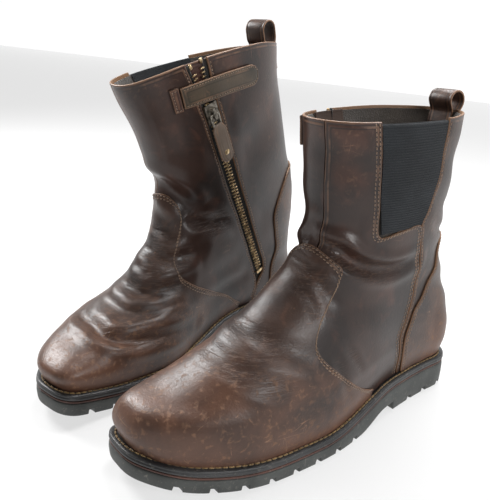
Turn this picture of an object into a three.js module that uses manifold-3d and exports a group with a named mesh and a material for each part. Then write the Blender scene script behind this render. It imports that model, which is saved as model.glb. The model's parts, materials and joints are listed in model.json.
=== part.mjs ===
// A pair of side-zip riding boots with an elastic gusset, in millimetres, +Z up.
// Toes point to -Y, the left boot stands on the +X side, and the origin is the middle of the pair's
// footprint on the floor. Along a boot, "l" runs from the heel (0) to the toe, "w" is positive on
// the outer (lateral) side, and z is the height above the floor.
import * as THREE from "three";
import { mergeVertices } from "three/addons/utils/BufferGeometryUtils.js";
import Module from "manifold-3d";

const wasm = await Module();
wasm.setup();

// ---------------------------------------------------------------- driving dimensions
const FOOT_LENGTH = 318; // outsole, heel to toe
const FOOT_WIDTH = 107; // outsole at the ball
const UPPER_HEIGHT = 215; // collar of the upright boot above the welt
const FOREFOOT_STACK = 18; // floor to welt top under the ball
const HEEL_STACK = 30; // floor to welt top under the heel
const TOE_SPRING = 12; // lift of the toe tip
const HEEL_LENGTH = 88; // heel block, back to breast
const WELT_THICKNESS = 5.4;
const MIDSOLE_THICKNESS = 1.6;
const LUG_DEPTH = 4;
const LEATHER = 1.6; // thickness of each leather layer
const LINING = 1.2;
const GAP = 1.6; // clearance between two leather layers
const LINING_GAP = 3.1; // clearance between the leather and the lining
const SEAT = 0.3; // clearance between stacked sole layers
const FEATHER_INSET = 5; // upper stands this far inside the sole edge
const ZIP_SLOT = 8.6; // half width of the opening between the quarters at the zip
const TOOTH_LENGTH = 5.8; // tooth, from its tape to its tip
const TOOTH_OVERLAP = 1.1; // a closed tooth passes the middle by this much
const TOOTH_PITCH = 5.2;
const TOOTH_HEIGHT = 2.4;
const STRAP_WIDTH = 19;
const STRAP_THICKNESS = 1.8;
const STRAP_DROP = 3.5; // collar edge to the strap's upper edge
const SLIDER_LENGTH = 17;
const SLIDER_WIDTH = 13.4;
const PULL_LENGTH = 38;
const PULL_WIDTH = 13;
const TAB_WIDTH = 22; // pull loop at the back of the collar
const TAB_RISE = 19;
const BOOT_SPACING = 162; // between the two boots' reference points, across
const RIGHT_BOOT_SETBACK = 20; // the right boot stands this much nearer its toes
const RIGHT_BOOT_TURN = THREE.MathUtils.degToRad(12);

// ---------------------------------------------------------------- the last
// The tables below are drawn at these sizes and scaled to the driving dimensions.
const LAST = { length: 318, width: 107, height: 215, middle: 150 };
const LEVEL = [0, 0.05, 0.1, 0.17, 0.25, 0.34, 0.43, 0.51, 0.58, 0.64, 0.81, 1];
// Front and back lines of each upper, level by level: distance from the heel, and height.
const PROFILES = {
  left: {
    frontL: [311, 315, 308, 284, 253, 224, 201, 184, 171, 166, 167, 172],
    frontZ: [30, 44, 58, 68, 82, 100, 115, 130, 143, 160, 201, 244],
    backL: [5, 2, 1, 2, 4, 7, 11, 15, 19, 22, 22, 16],
    backZ: [31, 42, 54, 66, 79, 93, 108, 122, 138, 156, 201, 246],
    vampTop: 0.615,
    innerRise: 0, // the collar rises this much over the zip
    loopRise: -5, // the pull loop, against TAB_RISE
    zipTopU: 1.662,
  },
  right: {
    frontL: [311, 315, 302, 279, 243, 215, 199, 187, 181, 178, 197, 227],
    frontZ: [30, 43, 53, 60, 68, 84, 104, 121, 133, 147, 200, 254],
    backL: [5, 1, 0, 1, 1, -1, -4, -5, -1, 9, 27, 40],
    backZ: [31, 42, 54, 66, 79, 95, 114, 137, 163, 186, 235, 288],
    vampTop: 0.685,
    innerRise: 14,
    loopRise: 5,
    zipTopU: 1.695,
  },
};
const SOLE_STATION = [0, 10, 40, 84, 126, 168, 210, 252, 289, 318];
const SOLE_HALF = {
  lateral: [49, 49, 40, 38.5, 45, 51.3, 53, 53.6, 52, 50],
  medial: [42, 42, 41, 35.5, 34, 41, 52.4, 53.5, 52, 50],
};
const CENTRE_STATION = [0, 200, 252, 271, 289, 299, 311, 318];
const CENTRE_SHIFT = [0, 0, -2.4, -5, -8, -11, -16, -18];
const SHAFT_LEVEL = [0, 0.17, 0.34, 0.51, 0.64, 0.81, 1];
const SHAFT_HALF = {
  lateral: [32, 32, 32, 34.5, 37, 40.5, 42],
  medial: [30.5, 32, 35.5, 36, 36.8, 39.4, 42],
};

// Depths below the outer skin: the vamp and counter lie outermost, then the quarters, then the lining.
const OUTER = { top: -LEATHER / 2, bottom: LEATHER / 2 };
const MIDDLE = { top: OUTER.bottom + GAP, bottom: OUTER.bottom + GAP + LEATHER };
const INNER = { top: MIDDLE.bottom + LINING_GAP, bottom: MIDDLE.bottom + LINING_GAP + LINING };
const GUARD = { top: INNER.bottom + GAP, bottom: INNER.bottom + GAP + 1.2 };
const STRAP_LIFT = 2.85; // clearance between the quarter and the strap, over the teeth
const STRAP = { bottom: MIDDLE.top - STRAP_LIFT, top: MIDDLE.top - STRAP_LIFT - STRAP_THICKNESS };

// ---------------------------------------------------------------- curves
const clamp01 = (x) => Math.min(1, Math.max(0, x));
const lerp = (a, b, t) => a + (b - a) * t;

function ease(x, from, to) {
  const t = clamp01((x - from) / (to - from));
  return t * t * (3 - 2 * t);
}

// A smooth curve through the points (xs, ys): cubic pieces whose slopes blend the two neighbours'.
function through(x, xs, ys) {
  const last = xs.length - 2;
  let i = 0;
  while (i < last && x > xs[i + 1]) i += 1;
  const step = (k) => xs[k + 1] - xs[k];
  const rise = (k) => (ys[k + 1] - ys[k]) / step(k);
  const slope = (k) => {
    if (k === 0) return rise(0);
    if (k === xs.length - 1) return rise(k - 1);
    return (rise(k - 1) * step(k) + rise(k) * step(k - 1)) / (step(k) + step(k - 1));
  };
  const h = step(i);
  const t = clamp01((x - xs[i]) / h);
  const a = ys[i] * (2 * t ** 3 - 3 * t ** 2 + 1) + ys[i + 1] * (3 * t ** 2 - 2 * t ** 3);
  return a + h * (slope(i) * (t ** 3 - 2 * t ** 2 + t) + slope(i + 1) * (t ** 3 - t ** 2));
}

// The point at share t along a list of [u, v] pairs, spaced by index.
function along(points, t) {
  const x = clamp01(t) * (points.length - 1);
  const i = Math.min(points.length - 2, Math.floor(x));
  const f = x - i;
  return [lerp(points[i][0], points[i + 1][0], f), lerp(points[i][1], points[i + 1][1], f)];
}

const toeLift = (l) => TOE_SPRING * Math.max(0, (l - 208) / 104) ** 2;
const weltTop = (l) => lerp(HEEL_STACK, FOREFOOT_STACK, ease(l, 95, 185)) + toeLift(l);

// Half width of the sole at l (unscaled), on one side, before the toe's shift towards the inside.
function soleHalf(l, side) {
  const middle = 109;
  const tip = l > middle ? LAST.length - middle : middle;
  const share = clamp01(Math.abs(l - middle) / tip);
  return through(l, SOLE_STATION, SOLE_HALF[side]) * Math.cbrt(1 - share ** 3);
}

const soleCentre = (l) => through(l, CENTRE_STATION, CENTRE_SHIFT);

// ---------------------------------------------------------------- the upper's skin
const ROUND_STEPS = 64;

class Skin {
  constructor(profile) {
    this.profile = profile;
    this.rows = new Map();
  }

  // One side's outline at level v, from the front (0) to the back (1), with its running length.
  outline(v, side) {
    const key = `${side}${v.toFixed(5)}`;
    if (this.rows.has(key)) return this.rows.get(key);
    const p = this.profile;
    const front = through(v, LEVEL, p.frontL);
    const back = through(v, LEVEL, p.backL);
    const frontZ = through(v, LEVEL, p.frontZ);
    const backZ = through(v, LEVEL, p.backZ);
    const middle = lerp(back, front, 0.34 + 0.14 * ease(v, 0.2, 0.6));
    const power = 3 - 0.7 * ease(v, 0, 0.45);
    const shaft = ease(v, 0.12, 0.58);
    const inset = FEATHER_INSET * (1 - 0.5 * ease(v, 0, 0.08));
    const points = [];
    let run = 0;
    for (let k = 0; k <= ROUND_STEPS; k += 1) {
      const t = Math.sin((Math.PI / 2) * (1 - (2 * k) / ROUND_STEPS));
      const l = middle + t * (t > 0 ? front - middle : middle - back);
      const round = Math.max(0, 1 - Math.abs(t) ** power) ** (1 / power);
      const foot = through(l, SOLE_STATION, SOLE_HALF[side]) - inset;
      const leg = through(v, SHAFT_LEVEL, SHAFT_HALF[side]);
      const half = lerp(foot, leg, shaft) * round;
      const w = (side === "lateral" ? half : -half) + soleCentre(l) * (1 - ease(v, 0.2, 0.5));
      const s = (l - back) / (front - back);
      const flat = weltTop(l) - lerp(weltTop(5), weltTop(311), s);
      const rise = side === "medial" ? p.innerRise * round ** 2 * ease(v, 0.8, 1) : 0;
      const z = lerp(backZ, frontZ, s) + flat * (1 - ease(v, 0, 0.3)) + rise;
      if (k > 0) run += Math.hypot(l - points[k - 1].l, w - points[k - 1].w);
      points.push({ l, w, z, run });
    }
    this.rows.set(key, points);
    return points;
  }

  // A point on the skin: u runs 0 at the front, 1 at the back seam by the outer side, 2 at the front.
  at(u, v) {
    const turn = ((u % 2) + 2) % 2;
    const side = turn <= 1 ? "lateral" : "medial";
    const points = this.outline(clamp01(v), side);
    const target = (turn <= 1 ? turn : 2 - turn) * points[ROUND_STEPS].run;
    let i = 0;
    while (i < ROUND_STEPS - 1 && points[i + 1].run < target) i += 1;
    const a = points[i];
    const b = points[i + 1];
    const f = (target - a.run) / (b.run - a.run);
    return toBoot(lerp(a.l, b.l, f), lerp(a.w, b.w, f), lerp(a.z, b.z, f));
  }

  normal(u, v) {
    const du = 0.012;
    const dv = 0.012;
    const low = Math.max(0, v - dv);
    const high = Math.min(1, v + dv);
    const alongU = this.at(u + du, v).sub(this.at(u - du, v));
    const alongV = this.at(u, high).sub(this.at(u, low));
    return alongU.cross(alongV).normalize();
  }

  // The point that lies depth below the skin.
  below(u, v, depth) {
    return this.at(u, v).addScaledVector(this.normal(u, v), -depth);
  }

  // The place on the inner side, as [u, v], whose distance from the heel is l and height is z.
  locate(l, z) {
    let v = 0.5;
    let u = 1.5;
    for (let turn = 0; turn < 6; turn += 1) {
      u = bisect(1.02, 1.98, (x) => lengthOf(this.at(x, v)) - l);
      v = bisect(0, 1, (x) => this.at(u, x).z - z);
    }
    return [u, v];
  }

  // Skin length of one step of u on the inner side at level v.
  girth(v) {
    return this.outline(v, "medial")[ROUND_STEPS].run * (FOOT_LENGTH / LAST.length);
  }
}

function bisect(low, high, value) {
  let a = low;
  let b = high;
  for (let k = 0; k < 24; k += 1) {
    const m = (a + b) / 2;
    if (value(m) < 0) a = m;
    else b = m;
  }
  return (a + b) / 2;
}

// From the last's own measures to the boot's frame, scaled to the driving dimensions.
function toBoot(l, w, z) {
  const welt = weltTop(l);
  const height = welt + (z - welt) * (UPPER_HEIGHT / LAST.height);
  const scale = FOOT_LENGTH / LAST.length;
  return new THREE.Vector3(w * (FOOT_WIDTH / LAST.width), (LAST.middle - l) * scale, height);
}

const lengthOf = (point) => LAST.middle - point.y / (FOOT_LENGTH / LAST.length);

// ---------------------------------------------------------------- solids
// A closed solid between two grids of points: rows run one way, columns the other.
function slab(rows, columns, topAt, bottomAt) {
  const position = [];
  const index = [];
  const stride = columns + 1;
  const layer = (rows + 1) * stride;
  for (const at of [topAt, bottomAt]) {
    for (let i = 0; i <= rows; i += 1) {
      for (let j = 0; j <= columns; j += 1) position.push(...at(i / rows, j / columns).toArray());
    }
  }
  const quad = (a, b, c, d) => index.push(a, b, c, a, c, d);
  for (let i = 0; i < rows; i += 1) {
    for (let j = 0; j < columns; j += 1) {
      const a = i * stride + j;
      quad(a, a + 1, a + 1 + stride, a + stride);
      quad(layer + a, layer + a + stride, layer + a + 1 + stride, layer + a + 1);
    }
  }
  for (let i = 0; i < rows; i += 1) {
    const a = i * stride;
    const b = a + columns;
    quad(a, a + stride, layer + a + stride, layer + a);
    quad(b, layer + b, layer + b + stride, b + stride);
  }
  for (let j = 0; j < columns; j += 1) {
    const a = j;
    const b = rows * stride + j;
    quad(a, layer + a, layer + a + 1, a + 1);
    quad(b, b + 1, layer + b + 1, layer + b);
  }
  return outward(position, index);
}

// Builds the geometry, and turns its faces round if they point inwards.
function outward(position, index) {
  const p = (k) => new THREE.Vector3(...position.slice(3 * k, 3 * k + 3));
  let volume = 0;
  for (let k = 0; k < index.length; k += 3) {
    volume += p(index[k]).dot(p(index[k + 1]).cross(p(index[k + 2])));
  }
  if (volume < 0) {
    for (let k = 0; k < index.length; k += 3) {
      [index[k + 1], index[k + 2]] = [index[k + 2], index[k + 1]];
    }
  }
  const geometry = new THREE.BufferGeometry();
  geometry.setAttribute("position", new THREE.Float32BufferAttribute(position, 3));
  geometry.setIndex(index);
  return geometry;
}

// A piece of the upper: uv(a, b) gives its place on the skin, and band its top and bottom depths.
function panel(skin, uv, band, rows, columns) {
  const at = (depth) => (a, b) => {
    const [u, v] = uv(a, b);
    return skin.below(u, v, depth);
  };
  return slab(rows, columns, at(band.top), at(band.bottom));
}

// The place between two edge curves: a runs along them, b from the first to the second.
const between = (first, second) => (a, b) => {
  const p = along(first, a);
  const q = along(second, a);
  return [lerp(p[0], q[0], b), lerp(p[1], q[1], b)];
};

// A sole layer inside the outline moved in by inset, between two heights over the given stations.
function soleLayer(stations, inset, low, high) {
  const edge = (l, side) => Math.max(soleHalf(l, side) - inset, 0.5);
  const squeeze = (l) => {
    const from = inset * 1.05;
    return from + (l / LAST.length) * (LAST.length - 2 * from);
  };
  const at = (height) => (a, b) => {
    const station = stations[Math.round(a * (stations.length - 1))];
    const l = squeeze(station);
    const w = lerp(-edge(station, "medial"), edge(station, "lateral"), b) + soleCentre(station);
    const scale = FOOT_LENGTH / LAST.length;
    return new THREE.Vector3(w * (FOOT_WIDTH / LAST.width), (LAST.middle - l) * scale, height(l));
  };
  return slab(stations.length - 1, 2, at(high), at(low));
}

// Stations that crowd towards both ends, where the outline turns.
function roundStations(from, to, count) {
  const list = [];
  for (let k = 0; k <= count; k += 1) {
    list.push(lerp(from, to, (1 - Math.cos((Math.PI * k) / count)) / 2));
  }
  return list;
}

function solidOf(geometry) {
  const plain = geometry.index ? geometry.toNonIndexed() : geometry.clone();
  const bare = new THREE.BufferGeometry().setAttribute("position", plain.getAttribute("position"));
  const merged = mergeVertices(bare, 1e-4);
  const mesh = new wasm.Mesh({
    numProp: 3,
    vertProperties: merged.attributes.position.array,
    triVerts: new Uint32Array(merged.index.array),
  });
  return new wasm.Manifold(mesh);
}

function geometryOf(solid) {
  const mesh = solid.getMesh();
  const geometry = new THREE.BufferGeometry();
  geometry.setAttribute("position", new THREE.BufferAttribute(mesh.vertProperties, 3));
  geometry.setIndex(new THREE.BufferAttribute(mesh.triVerts, 1));
  return geometry;
}

function boxAt(size, centre) {
  return new THREE.BoxGeometry(...size).translate(...centre);
}

// ---------------------------------------------------------------- finishes
const finish = (color, roughness, metalness = 0) =>
  new THREE.MeshStandardMaterial({ color, roughness, metalness });

const FINISH = {
  brown: finish(0x4a2f24, 0.5),
  dark: finish(0x3a2a25, 0.45),
  strap: finish(0x5a4534, 0.7),
  lining: finish(0x6b5d52, 0.9),
  elastic: finish(0x1c1c1f, 0.95),
  rubber: finish(0x4c4e4b, 0.85),
  red: finish(0x6b3a2c, 0.7),
  welt: finish(0x2a2623, 0.6),
  board: finish(0x8a6b4a, 0.9),
  foam: finish(0x3b3a39, 0.95),
  steel: finish(0x8d9094, 0.35, 1),
  brass: finish(0x9a8257, 0.4, 1),
  nickel: finish(0x6e6a60, 0.35, 1),
  tape: finish(0x151515, 0.95),
  nylon: finish(0x202020, 0.95),
};

// ---------------------------------------------------------------- seam lines
// Places on the skin as [u, v]; v is a share of the height from the welt to the collar.
const SEAM = 0.004; // half gap at a butted seam
const TUCK = 0.03; // how far a quarter runs under the vamp

const vampLateral = [
  [0, 1], [0.054, 0.99], [0.133, 0.95], [0.175, 0.91], [0.188, 0.85], [0.196, 0.79],
  [0.2, 0.68], [0.208, 0.6], [0.242, 0.49], [0.312, 0.4], [0.425, 0.29], [0.61, 0.04],
];
const vampMedial = [
  [0, 1], [0.033, 0.99], [0.075, 0.954], [0.092, 0.9], [0.092, 0.83], [0.1, 0.69],
  [0.129, 0.59], [0.167, 0.525], [0.283, 0.43], [0.42, 0.33], [0.52, 0.24], [0.67, 0.04],
];
const elasticFront = [[0.263, 1], [0.283, 0.854], [0.296, 0.742], [0.328, 0.652]];
const elasticRear = [[0.606, 1], [0.619, 0.866], [0.614, 0.76], [0.572, 0.668]];
const quarterRear = [
  [0.255, 1], [0.275, 0.854], [0.288, 0.742], [0.316, 0.644], [0.44, 0.651], [0.565, 0.659],
  [0.602, 0.59], [0.64, 0.5], [0.652, 0.4], [0.658, 0.3], [0.664, 0.2], [0.7, 0.09], [0.722, 0],
];
const heelLateral = [
  [0.9, 0.6], [0.84, 0.57], [0.8, 0.51], [0.75, 0.425], [0.71, 0.346], [0.685, 0.28],
  [0.69, 0.19], [0.71, 0.1], [0.74, 0],
];
const heelMedial = [
  [1.1, 0.6], [1.2, 0.59], [1.28, 0.55], [1.33, 0.48], [1.3, 0.4], [1.26, 0.32],
  [1.24, 0.22], [1.22, 0.1], [1.21, 0],
];

// The quarters' hidden edge: down the front seam, then under the vamp's edge to the welt.
function hiddenEdge(vampLine, top) {
  const edge = [[SEAM, 1], [SEAM, 0.86], [SEAM, 0.74]];
  const shares = [0.13, 0.25, 0.34, 0.42, 0.5, 0.58, 0.66, 0.74, 0.84, 1];
  for (const share of shares) {
    const [u, v] = along(vampLine, share);
    edge.push([Math.max(SEAM, u - TUCK), Math.max(0, (v - TUCK * 1.5) * top)]);
  }
  return edge;
}

// ---------------------------------------------------------------- one boot
function buildBoot(name, profile) {
  const boot = new THREE.Group();
  const skin = new Skin(profile);
  const add = (node, geometry, material) => {
    const mesh = new THREE.Mesh(geometry, material);
    mesh.name = `${name}_${node}`;
    boot.add(mesh);
    return mesh;
  };
  addSole(add);
  addUpper(add, skin, profile);
  addZip(add, skin);
  addStrap(add, skin);
  addPullLoop(add, skin);
  return boot;
}

// Outsole with cross lugs and a heel block, midsole, welt, shank, insole board and footbed.
function addSole(add) {
  const outsoleTop = (l) => weltTop(l) - WELT_THICKNESS - MIDSOLE_THICKNESS - 2 * SEAT;
  const tread = (l) => {
    const arch = 8 * ease(l, HEEL_LENGTH, HEEL_LENGTH + 1.5) * (1 - ease(l, 104, 140));
    return arch + toeLift(l) * 0.92;
  };
  const grooves = [];
  for (let l = 20; l < HEEL_LENGTH - 10; l += 22) grooves.push(l);
  for (let l = 148; l < 300; l += 21) grooves.push(l);
  const cut = (l) => {
    const near = grooves.find((g) => Math.abs(l - g) < 2.6);
    return near === undefined ? 0 : LUG_DEPTH;
  };
  const stations = [...roundStations(0, 318, 26), HEEL_LENGTH, HEEL_LENGTH + 1.5, 104, 128];
  for (const g of grooves) stations.push(g - 3.2, g - 2.4, g + 2.4, g + 3.2);
  stations.sort((a, b) => a - b);
  const spaced = stations.filter((l, k) => k === 0 || l - stations[k - 1] > 0.6);
  const bottom = (l) => tread(l) + cut(l);
  add("outsole", soleLayer(spaced, 0, bottom, outsoleTop), FINISH.rubber);

  const smoothStations = roundStations(0, 318, 26);
  const above = (base, offset) => (l) => base(l) + offset;
  const midLow = above(outsoleTop, SEAT);
  add("midsole", soleLayer(smoothStations, 0.6, midLow, above(midLow, MIDSOLE_THICKNESS)), FINISH.red);

  const weltLow = above(weltTop, -WELT_THICKNESS);
  const rim = 11;
  const outer = soleLayer(smoothStations, 0, weltLow, above(weltTop, -SEAT));
  const hole = soleLayer(smoothStations, rim, above(weltLow, -5), above(weltTop, 5));
  add("welt", geometryOf(solidOf(outer).subtract(solidOf(hole))), FINISH.welt);

  const inside = rim + 1;
  const boardLow = above(weltTop, -2.4);
  add("insole_board", soleLayer(smoothStations, inside, boardLow, above(weltTop, -SEAT)), FINISH.board);
  add("footbed", soleLayer(smoothStations, inside + 3.5, above(weltTop, SEAT), above(weltTop, 4.4)), FINISH.foam);

  const shankStations = [58, 80, 100, 120, 140, 160];
  const shankAt = (height) => (a, b) => {
    const l = shankStations[Math.round(a * (shankStations.length - 1))];
    const scale = FOOT_LENGTH / LAST.length;
    return new THREE.Vector3(lerp(-9, 9, b), (LAST.middle - l) * scale, height(l));
  };
  const shank = slab(shankStations.length - 1, 1, shankAt(above(boardLow, -SEAT)), shankAt(above(weltLow, 0.5)));
  add("shank", shank, FINISH.steel);
}

// Leather panels, elastic, lining and the two stiffeners.
function addUpper(add, skin, profile) {
  const top = profile.vampTop;
  const inner = (points) => points.map(([u, v]) => [2 - u, v]);
  const vampEdge = [
    ...inner(vampMedial).reverse(),
    ...vampLateral.slice(1),
  ].map(([u, v]) => [u > 1 ? u - 2 : u, v * top]);
  const vampFoot = (a) => [lerp(-0.665, 0.605, a), 0];
  const vampUv = (a, b) => {
    const foot = vampFoot(a);
    const edge = along(vampEdge, a);
    return [lerp(foot[0], edge[0], b), lerp(foot[1], edge[1], b)];
  };
  const vampColumns = 24;
  const vampRows = 8;
  const crowded = (a, b) => [a - (0.15 * Math.sin(4 * Math.PI * a)) / (4 * Math.PI), b ** 1.3];
  const vampGrid = (a, b) => vampUv(...crowded(a, b));
  add("vamp", panel(skin, vampGrid, OUTER, vampColumns, vampRows), FINISH.brown);

  // The puff follows the vamp's own grid over the toe, so the two stay parallel.
  const puffUv = (a, b) => vampGrid(lerp(7, 17, a) / vampColumns, (3 * b) / vampRows);
  add("toe_puff", panel(skin, puffUv, MIDDLE, 10, 3), FINISH.nylon);

  // Columns crowd towards the front or the back of the leg, where it turns.
  const toFront = (uv) => (a, b) => uv(a, b ** 1.7);
  const toSeam = (uv) => (a, b) => uv(a, 1 - (1 - b) ** 1.7);
  const lateralFront = toFront(between(hiddenEdge(vampLateral, top), quarterRear));
  add("quarter_lateral", panel(skin, lateralFront, MIDDLE, 24, 5), FINISH.brown);

  const backSeam = 1 - SEAM;
  const rearFront = [
    [0.615, 1], [0.628, 0.9], [0.628, 0.83], [0.622, 0.765], [0.6, 0.7], [0.579, 0.662], [0.61, 0.59],
    [0.648, 0.5], [0.66, 0.4], [0.666, 0.3], [0.672, 0.2], [0.708, 0.09], [0.73, 0],
  ];
  const rearBack = [
    [backSeam, 1], [backSeam, 0.9], [backSeam, 0.81], [backSeam, 0.74], [backSeam, 0.67], [backSeam, 0.6],
    [0.9, 0.55], [0.84, 0.49], [0.79, 0.4], [0.75, 0.32], [0.735, 0.22], [0.76, 0.1], [0.79, 0],
  ];
  const lateralBack = toSeam(between(rearFront, rearBack));
  add("quarter_lateral_back", panel(skin, lateralBack, MIDDLE, 12, 5), FINISH.brown);

  add("elastic_gusset", panel(skin, between(elasticFront, elasticRear), MIDDLE, 6, 6), FINISH.elastic);

  const zip = zipLine(skin);
  const frontSlot = [];
  const backSlot = [];
  for (let k = 0; k <= 12; k += 1) {
    const v = 1 - k / 12;
    const [middle, half] = zip.slotAt(v);
    frontSlot.push([middle + half, v]);
    backSlot.push([middle - half, v]);
  }
  const medialFront = toFront(between(inner(hiddenEdge(vampMedial, top)), frontSlot));
  add("quarter_medial_front", panel(skin, medialFront, MIDDLE, 24, 5), FINISH.dark);
  const medialBack = [
    [1 + SEAM, 1], [1 + SEAM, 0.92], [1 + SEAM, 0.83], [1 + SEAM, 0.75], [1 + SEAM, 0.67], [1 + SEAM, 0.6],
    [1.13, 0.55], [1.22, 0.49], [1.22, 0.41], [1.2, 0.32], [1.18, 0.22], [1.17, 0.1], [1.16, 0],
  ];
  const medialRear = toSeam(between(backSlot, medialBack));
  add("quarter_medial_back", panel(skin, medialRear, MIDDLE, 12, 6), FINISH.dark);

  const roundHeel = (uv) => (a, b) => uv(a, b + (0.5 * Math.sin(2 * Math.PI * b)) / (2 * Math.PI));
  const counterUv = roundHeel(between(heelLateral, heelMedial));
  add("heel_counter", panel(skin, counterUv, OUTER, 8, 12), FINISH.brown);
  const stiffLateral = [[0.87, 0.45], [0.81, 0.35], [0.78, 0.24], [0.81, 0.01]];
  const stiffMedial = [[1.1, 0.45], [1.13, 0.35], [1.13, 0.24], [1.11, 0.01]];
  const stiffUv = between(stiffLateral, stiffMedial);
  add("heel_stiffener", panel(skin, stiffUv, MIDDLE, 6, 6), FINISH.nylon);
  const stripUv = (a, b) => [lerp(0.965, 1.035, b), lerp(0.625, 0.985, a)];
  add("back_strip", panel(skin, stripUv, OUTER, 6, 2), FINISH.brown);

  // The lining runs once round the leg and stops on each side of the zip.
  const liningUv = (a, b) => {
    const v = lerp(0.012, 0.985, a);
    const [middle, half] = zip.slotAt(v, 5.5);
    // The columns crowd where the leg turns, at the front and at the back.
    const u = lerp(middle - half, middle + half - 2, b);
    const ends = Math.sin(Math.PI * b) ** 0.5;
    return [u - (0.5 * ends * Math.sin(2 * Math.PI * u)) / (2 * Math.PI), v];
  };
  add("lining", panel(skin, liningUv, INNER, 11, 26), FINISH.lining);

  const guardUv = (a, b) => {
    const v = lerp(0.3, 0.985, a);
    const [middle] = zip.slotAt(v);
    const half = 17 / skin.girth(v);
    return [lerp(middle - half, middle + half, b), v];
  };
  add("zip_guard", panel(skin, guardUv, GUARD, 8, 3), FINISH.dark);
}

// ---------------------------------------------------------------- the zip
const ZIP_BOTTOM = { l: 70.5, z: 67 };
const ZIP_FLARE = 3; // how much wider each side of the opening is at the collar
const FORK_SLOPE = 0.13; // how fast the open rows part above the slider
const SLIDER_BELOW_STRAP = 3;

// The chain is a straight line from above the welt to the collar, on the inner side.
function zipLine(skin) {
  if (skin.zip) return skin.zip;
  const topOnSkin = skin.at(skin.profile.zipTopU, 1);
  const topL = lengthOf(topOnSkin);
  const steps = 16;
  const places = [];
  for (let k = 0; k <= steps; k += 1) {
    const t = k / steps;
    const foot = toBoot(ZIP_BOTTOM.l, 0, ZIP_BOTTOM.z);
    places.push(skin.locate(lerp(ZIP_BOTTOM.l, topL, t), lerp(foot.z, topOnSkin.z - 0.5, t)));
  }
  const depth = MIDDLE.bottom + 0.5 - TOOTH_HEIGHT / 2 - 0.3;
  const bottom = skin.below(...places[0], depth);
  const topPlace = places[steps];
  const top = skin.below(...topPlace, depth);
  const down = bottom.clone().sub(top).normalize();
  const facing = skin.normal(...places[steps / 2]);
  const across = new THREE.Vector3().crossVectors(facing, down).normalize();
  const outwards = new THREE.Vector3().crossVectors(down, across).normalize();
  const length = bottom.distanceTo(top);
  const lowest = places[0][1];
  // The slot's middle in u at level v and its half width, closing below the zip's foot.
  const slotAt = (v, extra = 0) => {
    let i = 0;
    while (i < steps - 1 && places[i + 1][1] < v) i += 1;
    const a = places[i];
    const b = places[i + 1];
    const f = clamp01((v - a[1]) / (b[1] - a[1]));
    const middle = v < lowest ? places[0][0] - 0.12 * (lowest - v) : lerp(a[0], b[0], f);
    const open = ease(v, lowest - 0.1, lowest - 0.05);
    const flare = ZIP_FLARE * ease(v, 0.88, 1);
    const half = lerp(0.5, ZIP_SLOT + extra + flare, open) / skin.girth(v);
    return [middle, half];
  };
  skin.zip = { places, bottom, top, down, across, outwards, length, slotAt };
  return skin.zip;
}

// One row of teeth as a comb with a stop at its top: straight up to the slider, then leaning away.
function toothRow(length, fork, side) {
  const back = TOOTH_LENGTH - TOOTH_OVERLAP;
  const rail = 1.1; // width of the rail that carries the teeth
  const tooth = 1.7;
  const outline = [];
  const bend = (y, x) => {
    return new THREE.Vector2(side * (x + Math.max(0, y - fork) * FORK_SLOPE), y);
  };
  const shift = side > 0 ? 0 : TOOTH_PITCH / 2;
  outline.push(bend(0, back), bend(fork, back), bend(length, back));
  const count = Math.floor((length - 4) / TOOTH_PITCH);
  const stopLength = 2.6;
  outline.push(bend(length, back - 3.4), bend(length - stopLength, back - 3.4));
  outline.push(bend(length - stopLength, back - rail));
  for (let k = count - 1; k >= 0; k -= 1) {
    const y = 1.2 + shift + k * TOOTH_PITCH;
    outline.push(bend(y + tooth, back - rail), bend(y + tooth * 0.85, -TOOTH_OVERLAP));
    outline.push(bend(y + tooth * 0.15, -TOOTH_OVERLAP), bend(y, back - rail));
  }
  outline.push(bend(0, back - rail));
  const shape = new THREE.Shape(outline);
  const options = { depth: TOOTH_HEIGHT, bevelEnabled: false, steps: 1 };
  return new THREE.ExtrudeGeometry(shape, options).translate(0, 0, -TOOTH_HEIGHT / 2);
}

// Zip parts are drawn with x across the chain, y up along it and z outwards, then turned into place.
function addZip(add, skin) {
  const zip = zipLine(skin);
  const up = zip.down.clone().negate();
  const across = new THREE.Vector3().crossVectors(up, zip.outwards).normalize();
  const place = new THREE.Matrix4().makeBasis(across, up, zip.outwards).setPosition(zip.bottom);
  const put = (node, geometry, material) => add(node, geometry.applyMatrix4(place), material);
  const sliderFromTop = strapDrop(skin) + STRAP_WIDTH + SLIDER_BELOW_STRAP + SLIDER_LENGTH / 2;
  const sides = [["front", 1], ["back", -1]];
  for (const [label, side] of sides) {
    // "front" lies towards the toe: find which way across the chain that is.
    const toToe = across.y < 0 ? side : -side;
    const fork = zip.length - sliderFromTop + SLIDER_LENGTH / 2 + 1;
    put(`zip_teeth_${label}`, toothRow(zip.length - 1, fork, toToe), FINISH.brass);
    add(`zip_tape_${label}`, tape(skin, zip, place, toToe, label), FINISH.tape);
  }
  put("zip_bottom_stop", boxAt([9, 3, TOOTH_HEIGHT], [0, -2.2, 0]), FINISH.brass);
  addSlider(put, zip.length - sliderFromTop);
}

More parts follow.
